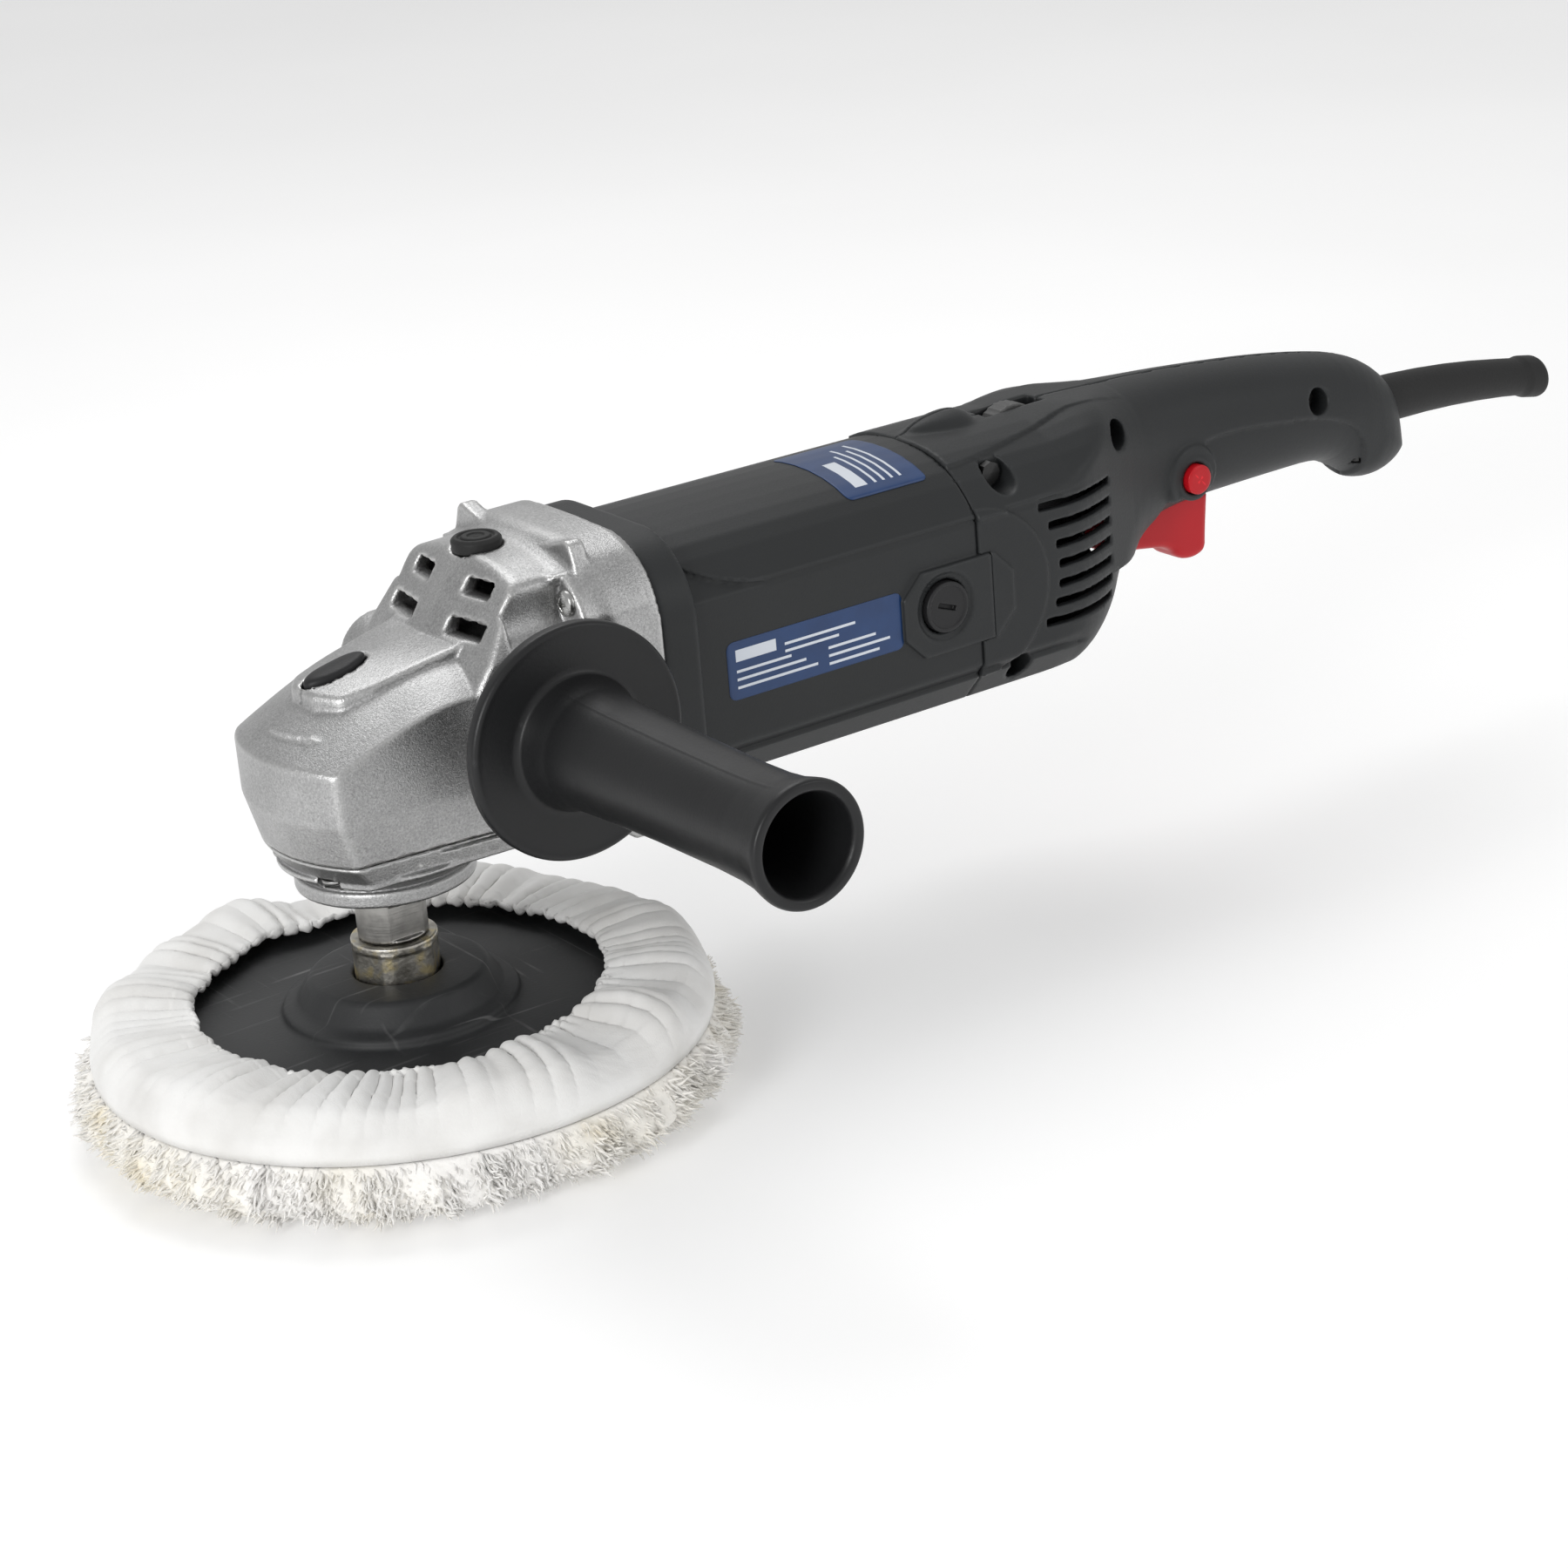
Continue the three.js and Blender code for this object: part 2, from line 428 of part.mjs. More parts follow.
// ---- rear handle, two halves parted on the middle plane -----------------------------------------------------
const HANDLE_TOP = [[186.3, 150], [240, 150.8], [280, 150], [316, 147], [346, 143.2], [369, 137.5], [384, 128.5],
  [391.5, 118]];
const HANDLE_LOW = [[394, 105], [386, 99.5], [377, 97.6], [366, 99.8], [356, 104.6], [330, 105], [304, 105], [287, 104],
  [274, 101], [264, 94], [257, 84], [247, 76], [231, 71.5], [205, 71.5], [186.3, 72]];
const HANDLE_PLAN = [[186.3, 38.5], [214, 38], [232, 34.5], [248, 28], [264, 21.5], [284, 18.6], [340, 18], [372, 16.5],
  [388, 13], [394.5, 8]];
function handleVolume(inset) {
  const top = HANDLE_TOP.map(([x, z]) => [Math.min(x, 394 - inset), z - inset]);
  const low = HANDLE_LOW.map(([x, z]) => [Math.min(x, 392 - inset), z + inset]);
  const plan = HANDLE_PLAN.map(([x, y]) => [Math.min(x, 394.5 - inset), y - inset]);
  const mirrored = plan.map(([x, y]) => [x, -y]).reverse();
  return prismY(outline([...top, ...low]), -40, 40)
    .intersect(prismZ(outline([...plan, ...mirrored]), 60, 160))
    .intersect(prismX(roundRect(inset - 38.5, 38.5 - inset, 71.5 + inset, 151 - inset, 14), 186, 396, 3));
}
const HANDLE_SCREWS = [[201, 141, 24], [202, 82, 24], [251.5, 141, 14], [343, 130, 8]]; // x, z, depth of the head
const screwTip = (depth) => 0.6 * depth + 5;
const bosses = join(
  ...HANDLE_SCREWS.map(([x, z]) => rodY(5.6, -30, 30, x, z, 12)), rodY(5, -20, 20, ...TRIGGER_PIVOT, 12),
);
const inside = cut(handleVolume(WALL), bosses);
const SLOTS_Z = [129.5, 123.3, 117, 110.8, 104.6, 98.8, 93.2];
const handleOpenings = [
  ...SLOTS_Z.map((z) => block(213, 243, -45, -25, z - 1.2, z + 1.2)),
  ...SLOTS_Z.map((z) => block(213, 243, 25, 45, z - 1.2, z + 1.2)),
  block(259.5, 306, -7.6, 7.6, 80, 110),
  block(TRIGGER_PIVOT[0] - 6.5, TRIGGER_PIVOT[0] + 6.5, -7.6, 7.6, 97, 110),
  rodY(2.5, -11.6, 11.6, ...TRIGGER_PIVOT, 12),
  block(DIAL[0] - 10, DIAL[0] + 10, -4, 4, 140, 156),
  rodY(5, -30, -10, ...LOCK_ON, 20),
  rodX(8.7, 376, 400, 0, SLEEVE_Z - 0.2, 20),
  rodX(16, 180, 196.2, 0, MOTOR_Z, 24),
  ...HANDLE_SCREWS.map(([x, z, depth]) => rodY(2.3, -30, screwTip(depth) + 0.4, x, z, 12)),
  ...HANDLE_SCREWS.map(([x, z, depth]) => rodY(4.3, -50, -depth, x, z, 16)),
];
const lockOnCollar = cut(rodY(7, -20.6, -16, ...LOCK_ON, 20), rodY(5, -30, -10, ...LOCK_ON, 20));
const clampPosts = SIDES.map(([side]) => rodZ(3.4, 99, 109.3, 366, side * 9, 12));
const clampHoles = SIDES.map(([side]) => rodZ(1.8, 103, 112, 366, side * 9, 12));
const shell = cut(join(cut(handleVolume(0), inside), ...clampPosts.map((post) => post.intersect(handleVolume(0)))),
  ...handleOpenings, ...clampHoles);
const halfSpace = (y0, y1) => block(180, 400, y0, y1, 60, 165);
piece('handle_left', join(shell.intersect(halfSpace(-45, -GAP / 2)), lockOnCollar), HOUSING);
piece('handle_right', shell.intersect(halfSpace(GAP / 2, 45)), HOUSING);
HANDLE_SCREWS.forEach(([x, z, depth], i) => {
  const tip = screwTip(depth);
  const screw = turnY([
    [0, tip], [2, tip], [2, -depth - 0.3], [3.6, -depth - 0.3], [3.4, -depth - 2.3], [0, -depth - 2.5],
  ], 12, x, z);
  piece(`handle_screw_${i + 1}`, screw, STEEL);
});

// ---- switch, trigger, lock-on button and speed dial ---------------------------------------------------------
piece('switch_body', block(270, 318, -8.5, 8.5, 117.5, 134), BLACK);
const triggerSide = new THREE.Shape();
triggerSide.moveTo(262.5, 96.5);
triggerSide.lineTo(279, 93.8);
triggerSide.quadraticCurveTo(286, 92.6, 289, 89.6);
triggerSide.quadraticCurveTo(292.5, 86.6, 297, 87.4);
triggerSide.quadraticCurveTo(301.6, 88.4, 302, 93);
triggerSide.lineTo(303.8, 107);
triggerSide.lineTo(298, 109.5);
triggerSide.lineTo(266, 108.5);
triggerSide.lineTo(261.5, 104);
piece('trigger', join(prismY(triggerSide, -7, 7, 5), rodY(2.1, -10.6, 10.6, ...TRIGGER_PIVOT, 12)), RED);
piece('lock_on_button', join(rodY(4.6, -23, -15, ...LOCK_ON, 20), rodY(2.6, -16, -12.2, ...LOCK_ON, 12)), RED);
const DIAL_NOTCHES = 16;
const dialNotches = Array.from({ length: DIAL_NOTCHES }, (_, i) => {
  const turn = (i * 2 * Math.PI) / DIAL_NOTCHES;
  return rodY(0.8, -5, 5, DIAL[0] + DIAL_R * Math.cos(turn), DIAL[1] + DIAL_R * Math.sin(turn), 6);
});
piece('speed_dial', join(
  cut(rodY(DIAL_R, -3.3, 3.3, ...DIAL, 32), ...dialNotches), rodY(2.4, -7.6, 3, ...DIAL, 12),
), BLACK);
piece('speed_module', join(block(212, 246, -14, 14, 119, 127), block(225, 233, -11, -8, 126, 145)), BLACK);

// ---- cable sleeve and cord clamp ----------------------------------------------------------------------------
const sleeveProfile = lathe([
  [SLEEVE_BORE, SLEEVE_START], [10.2, SLEEVE_START], [10.2, 376.4], [8, 376.6], [7.8, 392], [6.5, 449], [6.9, 451],
  [7.3, 452.5], [7.3, SLEEVE_END - 1.5], [6.6, SLEEVE_END], [SLEEVE_BORE, SLEEVE_END], [SLEEVE_BORE, 440],
  [SLEEVE_BORE, 415], [SLEEVE_BORE, SLEEVE_START],
], 20).rotateZ(-Math.PI / 2);
const sleeveAt = sleeveProfile.attributes.position;
for (let i = 0; i < sleeveAt.count; i += 1) {
  const along = Math.max(0, (sleeveAt.getX(i) - 383) / (SLEEVE_END - 383));
  sleeveAt.setZ(i, sleeveAt.getZ(i) + SLEEVE_Z - SLEEVE_DROP * along * along);
}
piece('cable_sleeve', solid(sleeveProfile), BLACK);
piece('cord_clamp', cut(block(361, 371, -12.6, 12.6, 109.6, 113), rodX(4.2, 350, 380, 0, 116, 16),
  ...SIDES.map(([side]) => rodZ(1.9, 100, 120, 366, side * 9, 12))), BLACK);
SIDES.forEach(([side, number]) => {
  const screw = turnZ([[0, 104], [1.5, 104], [1.5, 113.3], [3, 113.3], [3, 115.2], [0, 115.4]], 12, 366, side * 9);
  piece(`clamp_screw_${number}`, screw, STEEL);
});

// ---- side handle --------------------------------------------------------------------------------------------
const gripProfile = [
  [4.3, -SIDE_BOSS_Y - GAP], [12, -SIDE_BOSS_Y - GAP], [12, -GUARD_Y + 3.6], [33, -GUARD_Y + 3.6], [33, -GUARD_Y - 1.4],
  [30.6, -GUARD_Y - 1], [18.4, -GUARD_Y], [16.4, -GUARD_Y - 10], [14.6, -GRIP_END_Y + 22], [15, -GRIP_END_Y + 12],
  [17, -GRIP_END_Y + 1], [16.4, -GRIP_END_Y], [13.8, -GRIP_END_Y], [12.2, -GRIP_END_Y + 20], [12.2, -78], [4.3, -77.8],
  [4.3, -SIDE_BOSS_Y - GAP],
];
piece('side_grip', turnY(gripProfile, 32, SIDE_X, SIDE_Z), BLACK);
piece('grip_stud', turnY(rod(4, -74, -35.5), 16, SIDE_X, SIDE_Z), STEEL);

export default polisher;
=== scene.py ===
import itertools
import json
import math

import bpy
import numpy as np
from mathutils import Matrix, Vector

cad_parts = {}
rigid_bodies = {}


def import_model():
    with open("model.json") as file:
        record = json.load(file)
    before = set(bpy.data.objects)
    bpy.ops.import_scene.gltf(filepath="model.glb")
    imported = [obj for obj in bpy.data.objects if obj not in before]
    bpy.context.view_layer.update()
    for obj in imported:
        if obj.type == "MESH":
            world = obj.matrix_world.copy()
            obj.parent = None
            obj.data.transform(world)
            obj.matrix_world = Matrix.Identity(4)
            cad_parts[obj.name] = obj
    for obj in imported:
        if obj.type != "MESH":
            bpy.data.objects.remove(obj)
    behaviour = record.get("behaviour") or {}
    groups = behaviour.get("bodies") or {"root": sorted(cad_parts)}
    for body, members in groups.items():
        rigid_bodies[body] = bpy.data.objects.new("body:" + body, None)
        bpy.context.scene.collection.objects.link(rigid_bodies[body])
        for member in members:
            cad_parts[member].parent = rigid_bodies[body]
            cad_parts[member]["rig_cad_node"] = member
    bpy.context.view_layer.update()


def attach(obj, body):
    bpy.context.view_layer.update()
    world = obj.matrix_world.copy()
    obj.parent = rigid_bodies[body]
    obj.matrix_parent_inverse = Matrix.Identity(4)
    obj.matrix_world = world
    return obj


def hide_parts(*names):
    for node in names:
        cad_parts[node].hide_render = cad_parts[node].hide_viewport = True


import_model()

scene = bpy.context.scene

# ---- Studio: a pale floor under the bonnet, soft lights, and the camera --------------------------------
# The floor is one large sheet of matt white board. Every finish in this file is made with the two classes
# below: Value is a value in a finish that can be written into sums, and Finish is one material.


class Value:
    def __init__(self, finish, socket):
        self.finish = finish
        self.socket = socket

    def sum_with(self, operation, first, second):
        return self.finish.add("Math", {"operation": operation}, {0: first, 1: second})

    def __add__(self, other):
        return self.sum_with("ADD", self, other)

    def __radd__(self, other):
        return self.sum_with("ADD", other, self)

    def __sub__(self, other):
        return self.sum_with("SUBTRACT", self, other)

    def __rsub__(self, other):
        return self.sum_with("SUBTRACT", other, self)

    def __mul__(self, other):
        return self.sum_with("MULTIPLY", self, other)

    def __rmul__(self, other):
        return self.sum_with("MULTIPLY", other, self)

    def above(self, edge):
        return self.sum_with("GREATER_THAN", self, edge)

    def below(self, edge):
        return self.sum_with("LESS_THAN", self, edge)


class Finish:
    def __init__(self, name, **constants):
        self.material = bpy.data.materials.new(name)
        self.material.use_nodes = True
        self.nodes = self.material.node_tree.nodes
        self.links = self.material.node_tree.links
        self.nodes.clear()
        self.shader = self.nodes.new("ShaderNodeBsdfPrincipled")
        surface = self.nodes.new("ShaderNodeOutputMaterial")
        self.links.new(self.shader.outputs[0], surface.inputs[0])
        self.set(**constants)

    def feed(self, socket, value):
        if isinstance(value, Value):
            self.links.new(value.socket, socket)
        elif isinstance(value, (tuple, list)) and len(value) == 3 and socket.type == "RGBA":
            socket.default_value = (*value, 1)
        else:
            socket.default_value = value

    def set(self, **values):
        for name, value in values.items():
            self.feed(self.shader.inputs[name.replace("_", " ")], value)
        return self

    def add(self, kind, settings=None, values=None, output=0):
        node = self.nodes.new("ShaderNode" + kind)
        for key, value in (settings or {}).items():
            if key == "stops":
                while len(node.color_ramp.elements) < len(value):
                    node.color_ramp.elements.new(0.5)
                for element, (place, colour) in zip(node.color_ramp.elements, value):
                    element.position = place
                    element.color = (*colour, 1) if isinstance(colour, tuple) else (colour, colour, colour, 1)
            else:
                setattr(node, key, value)
        for key, value in (values or {}).items():
            self.feed(node.inputs[key], value)
        return Value(self, node.outputs[output])

    def place(self):
        """Where a point lies on the piece."""
        return self.add("TexCoord", output=3)

    def noise(self, scale, detail=3.0, roughness=0.5, at=None):
        values = {"Vector": at or self.place(), "Scale": scale, "Detail": detail, "Roughness": roughness}
        return self.add("TexNoise", values=values)

    def stretched(self, along):
        return self.add("Mapping", values={0: self.place(), 3: along})

    def ramp(self, value, *stops):
        return self.add("ValToRGB", {"stops": stops}, {0: value})

    def mix(self, amount, first, second):
        return self.add("Mix", {"data_type": "RGBA"}, {0: amount, 6: first, 7: second}, output=2)

    def bump(self, height, distance, strength=1.0):
        values = {"Strength": strength, "Distance": distance, "Height": height}
        return self.set(Normal=self.add("Bump", values=values))

    def edges(self):
        """How sharp the surface is: over a half on its outer edges."""
        return self.add("NewGeometry", output=7)


board = Finish("white_board", Roughness=0.7, Emission_Color=(1, 1, 1), Emission_Strength=0.16)
board.set(Base_Color=board.ramp(board.noise(3.0), (0.3, 0.90), (0.7, 0.93)))
bpy.ops.mesh.primitive_plane_add(size=12, location=(0, 0, -0.0006))
floor = bpy.context.object
floor.name = "floor"
floor.data.materials.append(board.material)

world = bpy.data.worlds.new("studio")
scene.world = world
world.use_nodes = True
world.node_tree.nodes["Background"].inputs["Color"].default_value = (1, 1, 1, 1)
world.node_tree.nodes["Background"].inputs["Strength"].default_value = 0.62
scene.view_settings.view_transform = "Standard"

LAMPS = {
    "key_light": ((-1.15, -0.65, 0.55), 0.5, 8.0),
    "side_light": ((0.9, -1.1, 0.7), 0.5, 2.0),
    "top_light": ((0.35, 0.6, 1.3), 0.8, 5.5),
}
for lamp_name, (lamp_at, lamp_size, lamp_power) in LAMPS.items():
    lamp = bpy.data.objects.new(lamp_name, bpy.data.lights.new(lamp_name, "AREA"))
    lamp.data.size = lamp_size
    lamp.data.energy = lamp_power
    lamp.location = lamp_at
    lamp.rotation_euler = (Vector((0.13, 0, 0.09)) - Vector(lamp_at)).to_track_quat("-Z", "Y").to_euler()
    scene.collection.objects.link(lamp)

azimuth, elevation, roll = math.radians(34.1), math.radians(21.13), math.radians(4.63)
ahead = Vector((
    math.sin(azimuth) * math.cos(elevation), math.cos(azimuth) * math.cos(elevation), -math.sin(elevation)))
right = Vector((math.cos(azimuth), -math.sin(azimuth), 0))
up = right.cross(ahead)
camera = bpy.data.objects.new("camera", bpy.data.cameras.new("camera"))
camera.data.lens = 80.8
camera.data.sensor_width = 36
camera.data.clip_start = 0.05
tilt_right = math.cos(roll) * right - math.sin(roll) * up
tilt_up = math.sin(roll) * right + math.cos(roll) * up
turn = Matrix((tilt_right, tilt_up, -ahead)).transposed().to_4x4()
camera.matrix_world = Matrix.Translation(0.11276 * right + 0.07752 * up - 1.00714 * ahead) @ turn
scene.collection.objects.link(camera)
scene.camera = camera

# ---- Gear head: a die casting in aluminium, shot blasted and left bare ---------------------------------
# The nose holds the crown gear and the spindle, the step behind it has four air vents, and the flange
# bolts to the motor housing. Its walls lean for the mould, its edges are soft, and the skin has the sandy
# grain of blasting.
MM = 0.001
# Places in millimetres that other pieces share, from the spindle's axis and the wool's face.
MOTOR_Z = 109.5
BOLT_SIDE, BOLT_RISE = 32, 31
COVER_SCREW_X, COVER_SCREW_Y = 23, 14
GRIP_X, GRIP_Z = 30, 113
PLUG_X = 40.3
PIN_AHEAD = 13.2


def soft_max(a, b, blend):
    near = np.maximum(blend - np.abs(a - b), 0)
    return np.maximum(a, b) + near * near / (4 * np.maximum(blend, 1e-6))


def soft_min(a, b, blend):
    return -soft_max(-a, -b, blend)


def every(*depths):
    """The overlap of several solids."""
    most = depths[0]
    for depth in depths[1:]:
        most = np.maximum(most, depth)
    return most


def round_rect(u, v, half_u, half_v, radius):
    over_u = np.abs(u) - half_u + radius
    over_v = np.abs(v) - half_v + radius
    outside = np.hypot(np.maximum(over_u, 0), np.maximum(over_v, 0))
    return outside + np.minimum(np.maximum(over_u, over_v), 0) - radius


def outline_depth(u, v, points):
    """How far (u, v) is outside a closed outline, negative inside."""
    nearest = None
    inside = False
    for (u0, v0), (u1, v1) in zip(points, [*points[1:], points[0]]):
        run, climb = u1 - u0, v1 - v0
        along = np.clip(((u - u0) * run + (v - v0) * climb) / (run**2 + climb**2), 0, 1)
        gap = (u - u0 - along * run) ** 2 + (v - v0 - along * climb) ** 2
        nearest = gap if nearest is None else np.minimum(nearest, gap)
        rise = climb if climb != 0 else 1e-9
        inside = inside ^ (((v0 > v) != (v1 > v)) & (u < u0 + run * (v - v0) / rise))
    return np.where(inside, -1, 1) * np.sqrt(nearest)


def make_mesh(name, points, faces, finish, body, replaced=(), slot=None):
    """A piece from points in millimetres, which rides on a body and stands for the CAD nodes it replaces."""
    mesh = bpy.data.meshes.new(name)
    mesh.from_pydata((np.asarray(points, float) * MM).tolist(), [], [list(map(int, face)) for face in faces])
    mesh.materials.append(finish.material)
    mesh.shade_smooth()
    piece = bpy.data.objects.new(name, mesh)
    scene.collection.objects.link(piece)
    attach(piece, body)
    if replaced:
        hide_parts(*replaced)
    return piece


def moulded(field, low, high, step):
    """The skin of a solid whose depth field is negative inside, as even quads settled on the surface."""
    axes = [np.arange(a, b + step, step) for a, b in zip(low, high)]
    grid = np.meshgrid(*axes, indexing="ij", sparse=True)
    depth = np.array(np.broadcast_to(field(*grid), [len(a) for a in axes]))
    solid = depth < 0
    size = [n - 1 for n in solid.shape]
    corners = [np.array(c) for c in itertools.product((0, 1), repeat=3)]
    filled = sum(
        solid[tuple(slice(c, c + n) for c, n in zip(corner, size))].astype(np.int8) for corner in corners)
    cells = np.argwhere((filled > 0) & (filled < 8))
    number = np.full(size, -1)
    number[tuple(cells.T)] = np.arange(len(cells))
    total = np.zeros((len(cells), 3))
    hits = np.zeros((len(cells), 1))
    for corner in corners:
        for axis in np.flatnonzero(corner == 0):
            far = corner.copy()
            far[axis] = 1
            a = depth[tuple((cells + corner).T)]
            b = depth[tuple((cells + far).T)]
            crossed = (a < 0) != (b < 0)
            point = (cells + corner).astype(float)
            point[:, axis] += np.where(crossed, a / np.where(crossed, a - b, 1), 0)
            total += np.where(crossed[:, None], point, 0)
            hits += crossed[:, None]
    points = np.array(low) + step * total / hits
    nudge = 0.02
    for _ in range(3):
        steps = np.eye(3) * nudge
        slope = [(field(*(points + e).T) - field(*(points - e).T)) / (2 * nudge) for e in steps]
        slope = np.stack(slope, axis=1)
        steep = np.maximum((slope**2).sum(axis=1), 0.05)
        shift = slope * (field(*points.T) / steep)[:, None]
        points = points - np.clip(shift, -0.5 * step, 0.5 * step)
    faces = []
    for axis in range(3):
        b, c = (axis + 1) % 3, (axis + 2) % 3
        first = np.take(solid, np.arange(size[axis]), axis)
        second = np.take(solid, np.arange(1, size[axis] + 1), axis)
        edges = np.argwhere(first != second)
        for across in (b, c):
            edges = edges[(edges[:, across] > 0) & (edges[:, across] < size[across])]
        ring = []
        for back_b, back_c in ((1, 1), (0, 1), (0, 0), (1, 0)):
            cell = edges.copy()
            cell[:, b] -= back_b
            cell[:, c] -= back_c
            ring.append(number[tuple(cell.T)])
        quads = np.stack(ring, axis=1)
        outward = first[tuple(edges.T)]
        faces.append(np.where(outward[:, None], quads, quads[:, ::-1]))
    return points, np.concatenate(faces)


def head_roof(x, y):
    """Height of the nose's crowned roof."""
    half = 28.5 + 0.092 * (x + 26)
    crown = 10.5 - 9.7 * np.clip((x + 20) / 40, 0, 1) ** 1.4
    return 111 + 0.41 * (x + 26) + crown * (1 - np.minimum(np.abs(y) / half, 1.2) ** 1.6)


def nose_plan(x, y, z):
    """Depth inside the nose's upright walls, which draw in towards the gear cover."""
    draw = 0.25 * np.maximum(95 - z, 0) + 0.45 * np.maximum(81 - z, 0)
    front = np.hypot(x - 14.6, y) - 49.6 + draw
    wall = np.abs(y) - 28.5 - 0.092 * (x + 26) + 0.35 * draw
    return front, soft_max(front, wall, 1.2)


TONGUE_PLAN = [(-14, -4), (-11, -9), (-4, -11), (24, -14), (40, -14), (40, 14), (24, 14), (-4, 11),
               (-11, 9), (-14, 4)]


def head_field(x, y, z):
    side = np.abs(y)
    front, plan = nose_plan(x, y, z)
    brow = (z - 111 + 0.62 * front) * 0.85
    roof = soft_max((z - head_roof(x, y)) * 0.93, brow, 5)
    nose = every(soft_max(plan, roof, 1.0), 82 - z, x - 45)
    tongue_plan = outline_depth(x, y, TONGUE_PLAN) - 5
    tongue = every(soft_max(tongue_plan, (z - head_roof(x, y) - 1.8) * 0.95, 1.6), 110 - z)
    step = ((x - 17) * -23 + (z - 129) * 16.5) / 28.3 + 0.12 * side
    deck = (z - 152.6 - 0.02 * (x - 35) + 4.8 * (y / 27) ** 2) * 0.95
    lean = (side - 33 - 0.05 * (x - 23) + 0.34 * np.maximum(z - 129, 0)) * 0.94
    block = soft_max(soft_max(np.maximum(step, 17 - x), deck, 1.8), lean, 2)
    underside = 82 - 0.794 * np.maximum(x - 44, 0) - z
    block = every(block, underside, x - 66)
    flange = round_rect(y, z - 110.8, 41, 41.4, 24)
    flare = soft_max(flange, 57 - x, 3)
    body = soft_min(soft_min(nose, tongue, 0.8), block, 0.8)
    rib_top = z - 151.8 - 4.4 * np.clip((side - 9) / 18, 0, 1) ** 1.5
    rib = soft_max(soft_max(rib_top, side - 31.2 - 0.36 * (151 - z), 2.2), np.abs(x - 54.5) - 2.6, 1)
    rib = every(rib, 137 - z, 6 - side)
    screw_boss = np.hypot(side - BOLT_SIDE, np.abs(z - MOTOR_Z) - BOLT_RISE) - 8
    screw_boss = every(screw_boss, 46 - x, x - 68, flange)
    reach_in = 12 * np.clip((x - 30) / 20, 0.1, 1)
    body = soft_min(soft_min(body, flare, reach_in), every(screw_boss, flange), 2.5)
    body = soft_min(body, rib, 1)
    body = every(body, x - 72, underside, 68.5 - z)
    boss = soft_max(np.hypot(x - GRIP_X, z - GRIP_Z) - 13, side - 46, 1)
    body = soft_min(body, every(boss, 20 - side), 2.5)
    for rise in (BOLT_RISE, -BOLT_RISE):
        pocket = every(np.hypot(side - 34.5, (z - MOTOR_Z - rise) * 0.8) - 7.0, 30 - x, x - 48.4)
        body = soft_max(body, -pocket, 1.6)
        body = every(body, -every(np.hypot(side - BOLT_SIDE, z - MOTOR_Z - rise) - 2.3, 45 - x))
    for row_x, row_y, row_z, half in ((29.3, 14.6, 145.0, 5.8), (22.4, 16.6, 135.4, 7.8)):
        vent = every(round_rect(side - row_y, z - row_z, half, 2.2, 1.0), np.abs(x - row_x) - 9)
        body = soft_max(body, -vent, 0.5)
    air = every(step + 4.5, x - 74, side - 24, np.abs(z - 139) - 7.8)
    gear_room = every(np.hypot(x, y) - 23.3, z - 107.6, 80 - z)
    bush_room = every(np.hypot(x, y) - 8.3, z - 114.8, 106 - z)
    pinion_room = every(np.hypot(y, z - MOTOR_Z) - 6.6, 9.5 - x, x - 31)
    bearing_room = every(np.hypot(y, z - MOTOR_Z) - 15.3, 30 - x, x - 41)
    shaft_room = every(np.hypot(y, z - MOTOR_Z) - 12, 40 - x, x - 53)
    fan_room = every(np.hypot(y, z - MOTOR_Z) - 24 - 1.5 * np.clip(x - 52, 0, 6), 52 - x)
    button_room = every(np.hypot((x + 8) / 10.2, y / 5.2) * 6 - 6, 119 - z)
    pin_room = every(np.hypot(x + PIN_AHEAD, y) - 2.4, 100 - z)
    plug_room = every(np.hypot(x - PLUG_X, y) - 5.8, 140 - z)
    stud_room = every(np.hypot(x - GRIP_X, z - GRIP_Z) - 4.3, 34 - side)
    plug_seat = every(np.hypot(x - PLUG_X, y) - 7.4, 151.1 - z)
    notch = np.sqrt((x + 21.5) ** 2 + (y / 1.6) ** 2 + (z - head_roof(x, y) - 1.5) ** 2) - 1.8
    for room in (air, gear_room, bush_room, pinion_room, bearing_room, shaft_room, fan_room,
                 button_room, pin_room, plug_room, plug_seat, stud_room, notch):
        body = np.maximum(body, -room)
    swept = np.arctan2(-y, -x)
    arrow_half = np.where(swept < 0.46, 0.8, 2.0 * (0.64 - swept) / 0.18)
    arrow = np.abs(np.hypot(x, y) - 28.2) - arrow_half
    arrow = every(arrow, -0.14 - swept, swept - 0.64, nose - 0.4, 112 - z, x)
    return soft_min(body, arrow, 0.2)


def cast_metal(name):
    finish = Finish(name, Metallic=1.0)
    grain = finish.noise(1500, 2.0, 0.7)
    cloud = finish.noise(55, 3.0)
    speck = finish.noise(3200, 1.0)
    # Convex edges are painted lighter, towards 0.70 grey: this is partly edge wear and partly a painted
    # highlight along the edges.
    lightened_edge = finish.ramp(finish.edges(), (0.50, 0.0), (0.60, 1.0))
    tone = finish.ramp(grain * 0.6 + cloud * 0.25 + speck * 0.15, (0.36, 0.30), (0.5, 0.40), (0.64, 0.52))
    finish.set(Base_Color=finish.mix(lightened_edge, tone, (0.70, 0.70, 0.69)))
    finish.set(Roughness=0.36 - 0.10 * lightened_edge + 0.10 * grain)
    finish.bump(grain + 0.6 * speck, 0.00012)
    return finish


aluminium = cast_metal("blasted_aluminium")
make_mesh("head_casting", *moulded(head_field, (-37, -48, 67), (74, 48, 158), 0.85), aluminium, "root",
          ["gear_head"], "cast_aluminium")

# ---- Gear cover and its screws: a turned and milled aluminium plate under the head ---------------------
# It closes the gear room, carries the main bearing, and ends in a turned ring round the spindle. Four pan
# head screws sit in notches at its corners, and the black louvre behind it lets the fan's air out.


